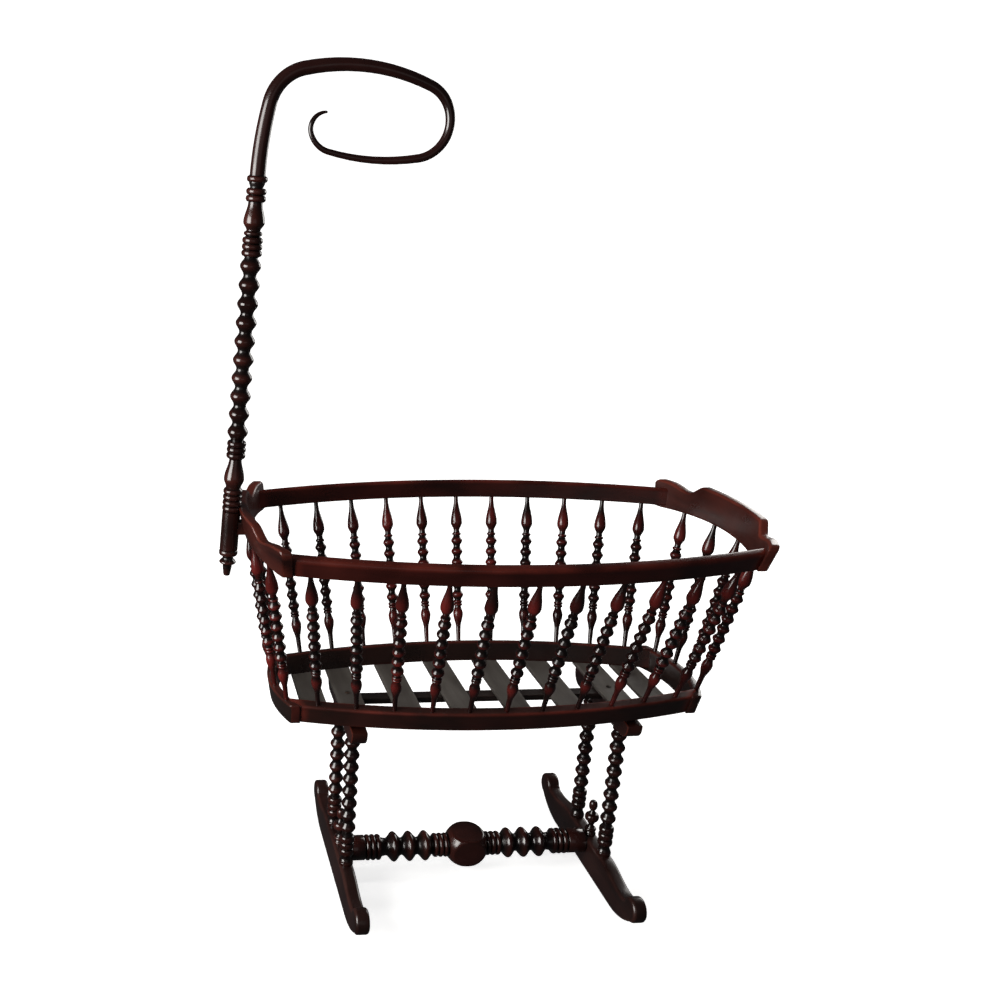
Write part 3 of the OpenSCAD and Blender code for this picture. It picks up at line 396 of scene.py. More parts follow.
def turned(profile, sides):
    """A turned piece along Z from (radius, height) in millimetres. Its swells are rubbed and its necks get
    painted shade, each by how far it stands out from what is near it, unless a point brings its own wear."""
    reach, least_swing, full_swing, far = 9 * MM, 2 * MM, 4 * MM, 9
    crest_wear, neck_painted_shade, plain_wear = 0.45, 0.9, 0.1
    radius = np.array([p[0] for p in profile]) * MM
    height = np.array([p[1] for p in profile]) * MM
    turn = np.arange(sides) * 2 * math.pi / sides
    rings = [np.column_stack([r * np.cos(turn), r * np.sin(turn), np.full(sides, z)])
             for r, z in zip(radius, height)]
    near = np.abs(height[:, None] - height[None, :]) < reach
    lowest = np.where(near, radius[None, :], far).min(1)
    highest = np.where(near, radius[None, :], 0).max(1)
    crest = (radius - lowest) / np.maximum(highest - lowest, least_swing)
    swing = np.clip((highest - lowest) / full_swing, 0, 1)
    # Painted shade: the necks get values below 0, which the wood paints darker, as shade falls in them.
    worn = swing * (crest_wear * crest ** 3 - neck_painted_shade * (1 - crest) ** 2) + (1 - swing) * plain_wear
    worn = [p[2] if len(p) > 2 else w for p, w in zip(profile, worn)]
    points = np.vstack(rings)
    return Shape(points, skinned(rings), np.repeat(worn, sides), points)


ENDS = (("head", -1), ("foot", 1))
SIDES = (("front", -1), ("back", 1))
TRESTLE_REACH = 306.5 * MM
POST_OFFSET = 81 * MM
FOOT_TOP_Z = 80 * MM
CAP_UNDER_Z = 412.5 * MM
POST_BEADS = 8
turned_wood = polished_wood("dark_turned_wood", DARK_DEEP, DARK_WARM, DARK_RUBBED, gloss=0.2, coat=0.8)


def post_profile():
    height, base, collar = (CAP_UNDER_Z - FOOT_TOP_Z) / MM, 80, 8
    foot_ring, taper_end, rings_start, rings_end = 6.5, 19, 24, base - 6
    waist, belly = 10.5, 17.5
    return (fillet(0, foot_ring, belly - 1) + flow(foot_ring + 0.5, taper_end, belly - 2, waist + 1.5)
            + [(waist + 1.5, rings_start)] + beads(rings_start, rings_end, 3, waist + 2, belly - 0.5)
            + flow(rings_end, base, waist + 1, waist, 3)
            + waves(base, height - collar, POST_BEADS, waist, belly, steps=16)
            + [(waist + 0.5, height - collar)] + fillet(height - collar, height, belly - 2.5))


def on_foot(end_side, y):
    return Matrix.Translation((STAND_MIDDLE + end_side * TRESTLE_REACH, y, FOOT_TOP_Z))


for end, end_side in ENDS:
    for side, y_side in SIDES:
        post = moved(turned(post_profile(), 40), on_foot(end_side, y_side * POST_OFFSET))
        finished(f"cradle_{end}_{side}_post", post, turned_wood, "stand")

# ---- Caps ----
# The heads of the two trestles: short planks whose tops fall away from a ridge, with an open saddle in
# the middle for the keel's journal. The lower corners are rounded, and the ends show a redder wood.

STAND_HEIGHT = 461 * MM
AXIS_HEIGHT = 453.376 * MM
SADDLE_R = 8.08 * MM
SWING_LIMIT = math.radians(4.5)
CAP_ROUNDING = 2.5 * MM
cap_wood = polished_wood("dark_cap_wood", DARK_DEEP, (0.020, 0.0050, 0.0036), (0.09, 0.018, 0.011),
                         gloss=0.27)


def cap_outline():
    half, corner, fall = 152 * MM, 30 * MM, math.tan(SWING_LIMIT)
    line = [(0.0, CAP_UNDER_Z), (half / 2, CAP_UNDER_Z)]
    line += [(half - corner + corner * math.cos(a), CAP_UNDER_Z + corner + corner * math.sin(a))
             for a in np.radians(np.linspace(-90, 0, 10))]
    line += [(y, STAND_HEIGHT - fall * y) for y in np.linspace(half, SADDLE_R, 8)]
    line += [(SADDLE_R * math.cos(a), AXIS_HEIGHT + SADDLE_R * math.sin(a))
             for a in np.radians(np.linspace(0, -90, 9))]
    return mirrored(line)


for end in ("head", "foot"):
    node_name = end + "_cap"
    low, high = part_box(node_name)
    finished("cradle_" + node_name, sawn(cap_outline(), high.x, high.x - low.x, CAP_ROUNDING),
             cap_wood, "stand")

# ---- Finials ----
# A small turned ornament stands on the middle of each foot, held by a round tenon: a disc between a
# stepped base and a drawn-out top.

FINIAL_HEIGHT = 90


def finial_profile():
    disc, stem, neck, knob, tip = 16.5, 6, 4.5, 10, 2
    base_end, cup_start, cup_end, bead_end = 4.5, 6, 11, 19
    stem_z, disc_start, disc_end, knob_start = 25, 37, 56, 66
    return (fillet(0, base_end, disc - 3) + flow(cup_start, cup_end, disc - 4, disc - 6, 4)
            + bead(cup_end, bead_end, disc - 6, disc - 3) + flow(bead_end, stem_z, disc - 7, stem, 4)
            + flow(stem_z, disc_start, stem, disc - 6.5) + bead(disc_start, disc_end, disc - 6.5, disc, 14)
            + flow(disc_end, knob_start, disc - 8, neck, 6) + bead(knob_start, FINIAL_HEIGHT, neck, knob, 14)
            + [(tip, FINIAL_HEIGHT)])


for end, end_side in ENDS:
    finial = moved(turned(finial_profile(), 36), on_foot(end_side, 0))
    finished(f"cradle_{end}_finial", finial, turned_wood, "stand")

# ---- Lower stretcher ----
# The heavy turned bar that ties the feet together, tenoned into both: rows of peaked beads on each
# side of a ball, which has four flats cut on it after the turning.

STRETCHER_Z = 64 * MM
STRETCHER_TURN = math.radians(9)
FLAT_HALF = 37 * MM
FLAT_EASE = 2.2 * MM
BALL_R = 53
FOOT_HALF = 16


def soft_limit(value, limit, ease):
    """Values held under a limit, with a rounded turn instead of a corner."""
    share = np.clip(0.5 + 0.5 * (limit - value) / ease, 0, 1)
    return limit + (value - limit) * share - ease * share * (1 - share)


def stretcher_half():
    half, belly, waist = TRESTLE_REACH / MM - FOOT_HALF, 35, 20
    beads_start, beads_end, rings_start, rings_end = 82, 196, 208, 246
    ball_end = math.sqrt(BALL_R ** 2 - (belly - 7) ** 2)
    ball_turn = math.asin(ball_end / BALL_R)
    ball_wear = 0.35
    return ([(BALL_R * math.cos(a), BALL_R * math.sin(a), ball_wear)
             for a in np.linspace(0, ball_turn, 25)[:-1]]
            + beads(ball_end, beads_start, 3, waist + 1, belly - 7)
            + waves(beads_start, beads_end, 3, waist, belly, steps=22)
            + flow(beads_end, rings_start, waist, waist + 2, 4)
            + beads(rings_start, rings_end, 3, waist + 3, belly - 5)
            + [(waist + 4, rings_end)] + fillet(rings_end + 2, half - 3, belly - 6) + [(belly - 8, half)])


def stretcher():
    half = stretcher_half()
    ball_reach = 45.2 * MM
    bar = turned([(p[0], -p[1], *p[2:]) for p in half[:0:-1]] + half, 96)
    ball = np.abs(bar.points[:, 2]) < ball_reach
    for axis in (0, 1):
        reach = bar.points[:, axis].copy()
        limited = np.sign(reach) * soft_limit(np.abs(reach), FLAT_HALF, FLAT_EASE)
        bar.points[:, axis] = np.where(ball, limited, reach)
    place = Matrix.Translation((STAND_MIDDLE, 0, STRETCHER_Z))
    turn = Matrix.Rotation(STRETCHER_TURN, 4, "X")
    return moved(bar, place @ turn @ Matrix.Rotation(math.pi / 2, 4, "Y"))


finished("cradle_lower_stretcher", stretcher(), turned_wood, "stand", sharp=50)

# ---- Keel ----
# A plain dark bar along the middle, under the slats that are screwed to it. Its round ends are the
# journals that lie in the caps' saddles.

SLAT_UNDER_Z = 461.376 * MM
SLAT_THICKNESS = 8.5 * MM
KEEL_DEPTH = 14 * MM
JOURNAL_R = 8
keel_wood = polished_wood("dark_keel_wood", (0.006, 0.0045, 0.004), (0.011, 0.008, 0.007),
                          (0.03, 0.018, 0.015), gloss=0.38, coat=0.1)


def cornered(corners, steps=4):
    """A closed outline from (across, up, radius) corners, anticlockwise, each rounded by its radius."""
    line = []
    for i, (x, y, radius) in enumerate(corners):
        here = np.array((x, y))
        before = np.array(corners[i - 1][:2]) - here
        after = np.array(corners[(i + 1) % len(corners)][:2]) - here
        before /= np.linalg.norm(before)
        after /= np.linalg.norm(after)
        half = math.acos(np.clip(before @ after, -1, 1)) / 2
        middle = before + after
        centre = here + middle / np.linalg.norm(middle) * radius / math.sin(half)
        start = here + before * radius / math.tan(half) - centre
        end = here + after * radius / math.tan(half) - centre
        swing = math.atan2(start[0] * end[1] - start[1] * end[0], start @ end)
        for k in range(steps + 1):
            a = swing * k / steps
            line.append((centre[0] + start[0] * math.cos(a) - start[1] * math.sin(a),
                         centre[1] + start[0] * math.sin(a) + start[1] * math.cos(a)))
    return line


def with_flats(outline, edge=3 * MM):
    """The outline with two more points on every long straight part, one near each of its ends."""
    line = []
    for here, after in zip(outline, outline[1:] + outline[:1]):
        line.append(here)
        way = np.subtract(after, here)
        long = np.linalg.norm(way)
        if long > 4 * edge:
            line += [tuple(here + way * edge / long), tuple(after - way * edge / long)]
    return line


def rubbed_corners(outline):
    """How rubbed each point of an outline is: its turns are, its straight parts aren't."""
    points = np.array(outline)
    before = points - np.roll(points, 1, 0)
    after = np.roll(points, -1, 0) - points
    cross = before[:, 0] * after[:, 1] - before[:, 1] * after[:, 0]
    turn = np.abs(np.arctan2(cross, (before * after).sum(1)))
    full_turn = math.radians(18)
    return np.clip(turn / full_turn, 0, 1)


def swept(outline, stations, place, long):
    """A bar of one outline, drawn in by a distance at each (place, distance) station and put in space by
    a function. Long is the length that one unit of place stands for in its grain."""
    upper_wear, lower_wear, end_wear = 0.6, 0.2, 0.7
    outline = np.array(with_flats(outline))
    middle = (outline.min(0) + outline.max(0)) / 2
    corners = rubbed_corners(outline) * np.where(outline[:, 1] > middle[1], upper_wear, lower_wear)
    half = (outline.max(0) - outline.min(0)) / 2
    rings = []
    worn = []
    grain = []
    for at, by in stations:
        ring = middle + (outline - middle) * (half - by) / half
        rings.append(np.array([place(a, b, at) for a, b in ring]))
        worn.append(corners)
        grain.append(np.column_stack([ring, np.full(len(ring), at * long)]))
    for i in (0, 1, -1, -2):
        worn[i] = np.maximum(worn[i], end_wear)
    return Shape(np.vstack(rings), skinned(rings), np.concatenate(worn), np.vstack(grain))


def eased_ends(start, end, rounding, count, steps=3):
    """Stations from start to end, whose last ones are drawn in along a quarter round."""
    nose = [(rounding * (1 - math.cos(a)), rounding * (1 - math.sin(a)))
            for a in np.linspace(0, math.pi / 2, steps + 1)]
    middle = [(t, 0.0) for t in np.linspace(start + rounding, end - rounding, count)[1:-1]]
    tail = [(end - run, by) for run, by in reversed(nose)]
    return [(start + run, by) for run, by in nose] + middle + tail


def keel():
    low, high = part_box("keel")
    half_width = (high.y - low.y) / 2
    shoulder = TRESTLE_REACH - 18 * MM
    half_long = (high.x - low.x) / 2
    under = SLAT_UNDER_Z - KEEL_DEPTH
    outline = cornered([(-half_width, under, 2 * MM), (half_width, under, 2 * MM),
                        (half_width, SLAT_UNDER_Z, 1 * MM), (-half_width, SLAT_UNDER_Z, 1 * MM)])
    bar = swept(outline, eased_ends(-shoulder, shoulder, 1.5 * MM, 24), lambda y, z, x: (x, y, z), 1)
    rod = turned(fillet(-half_long / MM, half_long / MM, JOURNAL_R), 40)
    rod = moved(rod, Matrix.Translation((0, 0, AXIS_HEIGHT)) @ Matrix.Rotation(math.pi / 2, 4, "Y"))
    joined = Shape(np.vstack([bar.points, rod.points]),
                   bar.faces + [tuple(i + len(bar.points) for i in f) for f in rod.faces],
                   np.concatenate([bar.worn, rod.worn]), np.vstack([bar.grain, rod.grain]))
    return moved(joined, Matrix.Translation((STAND_MIDDLE, 0, 0)))


finished("cradle_keel", keel(), keel_wood, "basket")

# ---- Keel screws ----
# Two dark iron screws hold the slats over the trestles down to the journals. Their shapes come from the
# construction; here they get a dull, slightly pitted iron.


def old_iron(name):
    made = bpy.data.materials.new(name)
    made.use_nodes = True
    tree = made.node_tree
    shader = tree.nodes["Principled BSDF"]
    place = node(tree, "ShaderNodeTexCoord").outputs["Object"]
    pits = node(tree, "ShaderNodeTexNoise", {"Vector": place, "Scale": 700, "Detail": 4}).outputs["Fac"]
    patches = node(tree, "ShaderNodeTexNoise", {"Vector": place, "Scale": 160, "Detail": 3}).outputs["Fac"]
    blackened, rusty = (0.035, 0.03, 0.027), (0.075, 0.045, 0.03)
    colour = colour_mix(tree, remap(tree, patches, 0.4, 0.65), blackened, rusty)
    tree.links.new(colour, shader.inputs["Base Color"])
    tree.links.new(remap(tree, patches, 0.35, 0.7, 0.75, 0.2), shader.inputs["Metallic"])
    tree.links.new(remap(tree, pits, 0.3, 0.7, 0.4, 0.65), shader.inputs["Roughness"])
    bump = node(tree, "ShaderNodeBump", {"Strength": 0.3, "Distance": 0.0003, "Height": pits})
    tree.links.new(bump.outputs["Normal"], shader.inputs["Normal"])
    return made


def repaint(node_name, material):
    """Gives a CAD object another material."""
    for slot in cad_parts[node_name].material_slots:
        slot.material = material


iron = old_iron("old_iron")
repaint("keel_screws", iron)

# ---- Bottom rails ----
# Two bowed rails lean outwards with the sides and carry the spindles' feet. A rebate behind a lip hides
# the slat ends. They are stained mahogany, rubbed to red on the upper edge.

RAIL_DEEP = (0.0090, 0.0026, 0.0021)
RAIL_WARM = (0.033, 0.0050, 0.0035)
RAIL_RUBBED = (0.12, 0.017, 0.0105)
SIDE_LEAN = math.radians(17.796)
HALF_WIDTH_BOTTOM = 183.5 * MM
BOW_RADIUS_BOTTOM = 1595 * MM
BOTTOM_RAIL_HEIGHT = 47 * MM
BOTTOM_RAIL_HALF = 12 * MM
LIP_THICKNESS = 9 * MM
RAIL_LET_IN = 7 * MM
BOARD_REACH = 528 * MM
SPINDLE_FOOT_Z = 510.96 * MM
LOW_BOARD_REACH = 461 * MM
LOW_BOARD_RADIUS = 276 * MM
LOW_BOARD_LEAN = math.radians(10)
rail_wood = polished_wood("mahogany_rail", RAIL_DEEP, RAIL_WARM, RAIL_RUBBED, gloss=0.27, rub=0.2)
low_rail_wood = polished_wood("dark_mahogany_rail", (0.0105, 0.0062, 0.0050), (0.018, 0.0076, 0.0058),
                              (0.14, 0.022, 0.014), gloss=0.3, coat=0.35, rub=0.05)


def leaning(corners, z):
    """Corners given square to a leaning side (out, up, radius), as (out, height, radius)."""
    return [(out * math.cos(SIDE_LEAN) + up * math.sin(SIDE_LEAN),
             z + up * math.cos(SIDE_LEAN) - out * math.sin(SIDE_LEAN), radius)
            for out, up, radius in corners]


def low_board_x(z, y, depth):
    """How far out a low board is, at a height, a place across and a depth into it."""
    run = (LOW_BOARD_RADIUS + (z - SLAT_UNDER_Z) * math.tan(LOW_BOARD_LEAN)
           + depth / math.cos(LOW_BOARD_LEAN))
    return LOW_BOARD_REACH - LOW_BOARD_RADIUS + math.sqrt(run ** 2 - y ** 2)


def bowed_rail(corners, half_width, radius, board_at, side):
    """A rail along a bow, its ends let into boards whose faces are given by a function. Its corners are
    listed anticlockwise."""
    outline = cornered(corners)
    if side < 0:
        outline = outline[::-1]

    def place(out, z, share):
        y = half_width
        for _ in range(12):
            end = board_at(z, y, RAIL_LET_IN)
            y = half_width - radius + math.sqrt((radius + out) ** 2 - end ** 2)
        x = share * end
        y = half_width - radius + math.sqrt((radius + out) ** 2 - x ** 2)
        return (STAND_MIDDLE + x, side * y, z)

    return flipped(swept(outline, [(s, 0.0) for s in np.linspace(-1, 1, 61)], place, BOARD_REACH))


bottom_corners = leaning([(BOTTOM_RAIL_HALF, 0, 4 * MM), (-BOTTOM_RAIL_HALF, 0, 4 * MM),
                          (-BOTTOM_RAIL_HALF, -BOTTOM_RAIL_HEIGHT, 1 * MM)], SPINDLE_FOOT_Z)
lip_corner = leaning([(BOTTOM_RAIL_HALF, -BOTTOM_RAIL_HEIGHT, 3 * MM)], SPINDLE_FOOT_Z)[0]
lip_inner = lip_corner[0] - LIP_THICKNESS
lip_rise = LIP_THICKNESS * math.tan(SIDE_LEAN)
bottom_corners += [(lip_inner, bottom_corners[2][1], 0.6 * MM),
                   (lip_inner, lip_corner[1] + lip_rise, 1 * MM), lip_corner]
for side, y_side in SIDES:
    finished(f"cradle_{side}_bottom_rail",
             bowed_rail(bottom_corners, HALF_WIDTH_BOTTOM, BOW_RADIUS_BOTTOM, low_board_x, y_side),
             low_rail_wood, "basket")

# ---- Low boards ----
# Two short bowed boards close the floor at the ends and carry the feet of the end spindles. The grain
# runs across the cradle, and the edges are rounded by wear.

LOW_BOARD_THICKNESS = 20 * MM


def bow(half_width, radius, x):
    """The half width of a bowed side at a place along it."""
    return half_width - radius + math.sqrt(radius ** 2 - x ** 2)


def low_board():
    corner_in, past_corner = 27 * MM, 4 * MM
    corner_y = bow(HALF_WIDTH_BOTTOM, BOW_RADIUS_BOTTOM, LOW_BOARD_REACH - corner_in) + past_corner
    low_end = corner_y + lip_corner[0]
    high_end = corner_y + BOTTOM_RAIL_HALF * math.cos(SIDE_LEAN)
    outline = cornered([(0, SLAT_UNDER_Z, 1.5 * MM), (LOW_BOARD_THICKNESS, SLAT_UNDER_Z, 3 * MM),
                        (LOW_BOARD_THICKNESS, SPINDLE_FOOT_Z, 4 * MM), (0, SPINDLE_FOOT_Z, 4 * MM)])

    def place(depth, z, share):
        level = (z - SLAT_UNDER_Z) / (SPINDLE_FOOT_Z - SLAT_UNDER_Z)
        y = share * (low_end + (high_end - low_end) * level)
        return (low_board_x(z, y, depth), y, z)

    stations = [(t / high_end, by) for t, by in eased_ends(-high_end, high_end, 4 * MM, 40, 4)]
    return swept(outline, stations, place, high_end)


def at_end(shape, end_side):
    """A board made for the foot end, put at the head or the foot."""
    points = shape.points * (end_side, 1, 1) + (STAND_MIDDLE, 0, 0)
    placed = shape._replace(points=points)
    return placed if end_side < 0 else flipped(placed)


for end, end_side in ENDS:
    finished(f"cradle_{end}_low_board", at_end(low_board(), end_side), low_rail_wood, "basket")

# ---- Slats ----
# Eight thin sawn slats make the floor. They are bare wood gone grey-brown, a little cupped, with eased
# edges, nailed into the rails' rebates from below.

SLAT_WIDTH = 58 * MM
SLAT_END_GAP = 0.3 * MM
LAST_SLAT_REACH = 391 * MM
slat_wood = polished_wood("grey_slat_wood", (0.050, 0.042, 0.037), (0.100, 0.090, 0.080),
                          (0.135, 0.122, 0.110), gloss=0.5, coat=0.05)


def slat(middle, seed):
    chance = random.Random(seed)
    phase, cup = chance.uniform(0, 6), chance.uniform(0.25, 0.6) * MM
    top = SLAT_UNDER_Z + SLAT_THICKNESS
    half = SLAT_WIDTH / 2 - 0.1 * MM
    across = np.linspace(-half, half, 9)[1:-1]
    corners = cornered([(half, SLAT_UNDER_Z, 1 * MM), (half, top, 1.6 * MM), (0, top, 0),
                        (0, SLAT_UNDER_Z, 0)])
    corners = corners[:len(corners) // 2]
    outline = [(x, SLAT_UNDER_Z) for x in across] + corners + [(x, top) for x in across[::-1]]
    outline += [(-x, z) for x, z in corners[::-1]]
    lips = BOW_RADIUS_BOTTOM + lip_inner - SLAT_END_GAP
    waviness, end_rounding, end_depth, wear = 0.12 * MM, 0.006, 0.15, 0.5

    def place(x, z, share):
        end = HALF_WIDTH_BOTTOM - BOW_RADIUS_BOTTOM + math.sqrt(lips ** 2 - (middle + x) ** 2)
        sag = cup * (1 - (x / half) ** 2) * (0.6 + 0.4 * math.sin(9 * share + phase))
        sag += waviness * math.sin(23 * share + 2 * phase + 60 * x)
        lift = (z - SLAT_UNDER_Z) / SLAT_THICKNESS
        return (STAND_MIDDLE + middle + x, share * end, z - max(sag, 0) * lift)

    stations = [(t, by * end_depth) for t, by in eased_ends(-1, 1, end_rounding, 28, 2)]
    made = swept(outline, stations, place, HALF_WIDTH_BOTTOM)
    return made._replace(worn=made.worn * wear)


slat_pitch = TRESTLE_REACH / 2.5
slat_places = [slat_pitch / 2, slat_pitch * 1.5, TRESTLE_REACH, LAST_SLAT_REACH]
for number, middle in enumerate([-x for x in slat_places] + slat_places, 1):
    finished(f"cradle_floor_slat_{number}", slat(middle, number), slat_wood, "basket")

# ---- Slat nails ----
# Thin iron nails are driven up through the slat ends into the rails. They show only from underneath,
# and keep their shapes from the construction.

repaint("slat_nails", iron)

# ---- Side spindles ----
# Eleven turned spindles on each side lean out from the bottom rail to the top rail: a thin neck, a
# vase, two rings, six peaked beads, a ring and a long upper vase, rubbed to red on the swells.

HALF_WIDTH_TOP = 298.5 * MM
BOW_RADIUS_TOP = 1490 * MM
TOP_RAIL_Z = 842.96 * MM
SIDE_SPINDLES = 11
SIDE_SPAN_BOTTOM = 795 * MM
SIDE_SPAN_TOP = 884 * MM
spindle_wood = polished_wood("dark_spindle_wood", DARK_DEEP, (0.018, 0.0036, 0.0031),
                             (0.15, 0.0145, 0.0120), gloss=0.2, coat=0.7, rub=0.1)


def spindle_profile(long):
    tenon, waist, belly, low_vase, neck, ring, let_in = 5, 8, 13.5, 11.75, 7.5, 10.5, 3
    heights = [part * long for part in (0.01, 0.09, 0.19, 0.242, 0.282, 0.732, 0.752, 0.766, 0.82, 0.985)]
    foot, vase, low_belly, rings, beads_start, beads_end, ring_end, high_neck, high_belly, top = heights
    return ([(tenon, -let_in)] + flow(foot, vase, tenon, tenon + 0.6, 3)
            + swell(vase, low_belly, tenon + 0.6, low_vase) + swell(low_belly, rings, low_vase, neck, 8)
            + beads(rings, beads_start, 2, neck, ring, 7)
            + waves(beads_start, beads_end, 6, waist, belly, peak=1.15)
            + bead(beads_end, ring_end, neck, ring, 7) + flow(ring_end, high_neck, neck, neck - 0.5, 3)
            + swell(high_neck, high_belly, neck - 0.5, belly, 8) + swell(high_belly, top, belly, tenon, 14)
            + [(tenon, top), (tenon, long + let_in)])


def spindle(start, end):
    """A spindle between two points, from its foot to its top."""
    way = Vector(end) - Vector(start)
    stand = Matrix.Translation(start) @ way.to_track_quat("Z", "Y").to_matrix().to_4x4()
    return moved(turned(spindle_profile(way.length / MM), 28), stand)


for side, y_side in SIDES:
    for number in range(1, SIDE_SPINDLES + 1):
        share = (number - 1) / (SIDE_SPINDLES - 1) - 0.5
        foot_x, top_x = SIDE_SPAN_BOTTOM * share, SIDE_SPAN_TOP * share
        foot_y = bow(HALF_WIDTH_BOTTOM, BOW_RADIUS_BOTTOM, foot_x)
        top_y = bow(HALF_WIDTH_TOP, BOW_RADIUS_TOP, top_x)
        made = spindle((STAND_MIDDLE + foot_x, y_side * foot_y, SPINDLE_FOOT_Z),
                       (STAND_MIDDLE + top_x, y_side * top_y, TOP_RAIL_Z))
        finished(f"cradle_{side}_spindle_{number}", made, spindle_wood, "basket",
                 uneven=0.35)

# ---- End spindles ----
# Four spindles of the same wood and pattern stand at each end, tenoned into a low board and the head or
# foot board.

BOARD_RADIUS = 580 * MM
BOARD_LEAN = math.radians(14)
BOARD_THICKNESS = 20 * MM
BOARD_ARCH = 5 * MM
BOARD_CORNER_IN = 38 * MM
BOARD_CORNER_Y = bow(HALF_WIDTH_TOP, BOW_RADIUS_TOP, BOARD_REACH - BOARD_CORNER_IN)
END_SPINDLES = 4
END_SPAN_BOTTOM = 206 * MM
END_SPAN_TOP = 314 * MM


def board_x(z, y, depth):
    """How far out the head or foot board is, at a height, a place across and a depth into it."""
    run = (BOARD_RADIUS + (z - TOP_RAIL_Z - BOARD_ARCH) * math.tan(BOARD_LEAN)
           + depth / math.cos(BOARD_LEAN))
    return BOARD_REACH - BOARD_RADIUS + math.sqrt(run ** 2 - y ** 2)


def board_edge_z(y):
    """The height of the board's lower edge, which arches over its middle."""
    return TOP_RAIL_Z + BOARD_ARCH - 2 * BOARD_ARCH * (min(abs(y), BOARD_CORNER_Y) / BOARD_CORNER_Y) ** 2


for end, end_side in ENDS:
    for number in range(1, END_SPINDLES + 1):
        share = (number - 1) / (END_SPINDLES - 1) - 0.5
        foot_y, top_y = END_SPAN_BOTTOM * share, END_SPAN_TOP * share
        top_z = board_edge_z(top_y)
        foot_x = end_side * low_board_x(SPINDLE_FOOT_Z, foot_y, LOW_BOARD_THICKNESS / 2)
        top_x = end_side * board_x(top_z, top_y, BOARD_THICKNESS / 2)
        made = spindle((STAND_MIDDLE + foot_x, foot_y, SPINDLE_FOOT_Z),
                       (STAND_MIDDLE + top_x, top_y, top_z))
        finished(f"cradle_{end}_spindle_{number}", made, spindle_wood, "basket",
                 [f"{end}_spindles"], uneven=0.35)

# ---- Top rails ----
# Two bowed mahogany rails tie the spindles together, their ends let into the boards. Hands have rubbed
# their well rounded upper edges red.

TOP_RAIL_HALF = 11.5 * MM
TOP_RAIL_HEIGHT = 42 * MM
TOP_RAIL_ROUNDING = 8 * MM
top_corners = leaning([(TOP_RAIL_HALF, 0, 2 * MM), (TOP_RAIL_HALF, TOP_RAIL_HEIGHT, TOP_RAIL_ROUNDING),
                       (-TOP_RAIL_HALF, TOP_RAIL_HEIGHT, TOP_RAIL_ROUNDING),
                       (-TOP_RAIL_HALF, 0, 2 * MM)], TOP_RAIL_Z)
for side, y_side in SIDES:
    finished(f"cradle_{side}_top_rail",
             bowed_rail(top_corners, HALF_WIDTH_TOP, BOW_RADIUS_TOP, board_x, y_side),
             rail_wood, "basket")

# ---- Head and foot boards ----
# Bowed boards with a crest, two dips and raised ears, leaning outwards. The grain runs across, and the
# whole upper edge is rounded over and rubbed.

CREST_Z = TOP_RAIL_Z + 72 * MM
EAR_Z = TOP_RAIL_Z + 57 * MM
DIP_Z = TOP_RAIL_Z + 48 * MM
EAR_ROUND = 10 * MM
EAR_WIDTH = 12 * MM
PAST_RAIL = 9 * MM
BOARD_END_Y = BOARD_CORNER_Y + TOP_RAIL_HALF * math.cos(SIDE_LEAN) + PAST_RAIL
board_wood = polished_wood("mahogany_board", RAIL_DEEP, (0.054, 0.0100, 0.0065), (0.15, 0.028, 0.017),
                           gloss=0.3, rub=0.3)


def board_top_z(y):
    """The height of the board's upper edge: a level crest, a dip and a raised ear with a round end."""
    lean_out = math.tan(SIDE_LEAN) * (EAR_Z - board_edge_z(BOARD_CORNER_Y))
    crest_end, dip_at, ear_start = BOARD_END_Y - 116 * MM, BOARD_END_Y - 76 * MM, BOARD_END_Y - EAR_WIDTH
    round_start = BOARD_END_Y + lean_out - EAR_ROUND
    y = abs(y)
    if y < crest_end:
        return CREST_Z
    if y < dip_at:
        turn = math.pi * (y - crest_end) / (dip_at - crest_end)
        return DIP_Z + (CREST_Z - DIP_Z) * (1 + math.cos(turn)) / 2
    if y < ear_start:
        turn = math.pi * (y - dip_at) / (ear_start - dip_at)
        return DIP_Z + (EAR_Z - DIP_Z) * (1 - math.cos(turn)) / 2
    if y < round_start:
        return EAR_Z
    return EAR_Z - EAR_ROUND + math.sqrt(max(EAR_ROUND ** 2 - (y - round_start) ** 2, 0))


def end_board():
    tall = CREST_Z - TOP_RAIL_Z
    edge = 6 * MM
    outline = cornered([(0, 0, 3 * MM), (BOARD_THICKNESS, 0, 3 * MM), (BOARD_THICKNESS, tall, 5 * MM),
                        (0, tall, 5 * MM)], 5)
    rows = np.linspace(edge, tall - edge, 7)
    lower = len(outline) // 2
    outline = (outline[:lower] + [(BOARD_THICKNESS, z) for z in rows] + outline[lower:]
               + [(0, z) for z in rows[::-1]])
    low = board_edge_z(BOARD_CORNER_Y)
    lean_out = math.tan(SIDE_LEAN) * (EAR_Z - low)

    def across(share, z):
        return share * (BOARD_END_Y + lean_out * min((z - low) / (EAR_Z - EAR_ROUND - low), 1))

    def place(depth, up, share):
        bottom = board_edge_z(across(share, low))
        top = board_top_z(across(share, EAR_Z))
        for _ in range(3):
            top = board_top_z(across(share, top))
        if up < edge:
            z = bottom + up
        elif up > tall - edge:
            z = top - (tall - up)
        else:
            z = bottom + edge + (top - bottom - 2 * edge) * (up - edge) / (tall - 2 * edge)
        y = across(share, z)
        return (board_x(z, y, depth), y, z)

    stations = eased_ends(-BOARD_END_Y, BOARD_END_Y, 3 * MM, 121, 4)
    return swept(outline, [(t / BOARD_END_Y, by) for t, by in stations], place, BOARD_END_Y)


for end, end_side in ENDS:
    finished(f"cradle_{end}board", at_end(end_board(), end_side), board_wood, "basket")

# ---- Mast block ----
# A mahogany packing block between the headboard and the mast: hollowed to the mast on one side, fitted
# to the bowed board on the other, and held by the mast's screws.

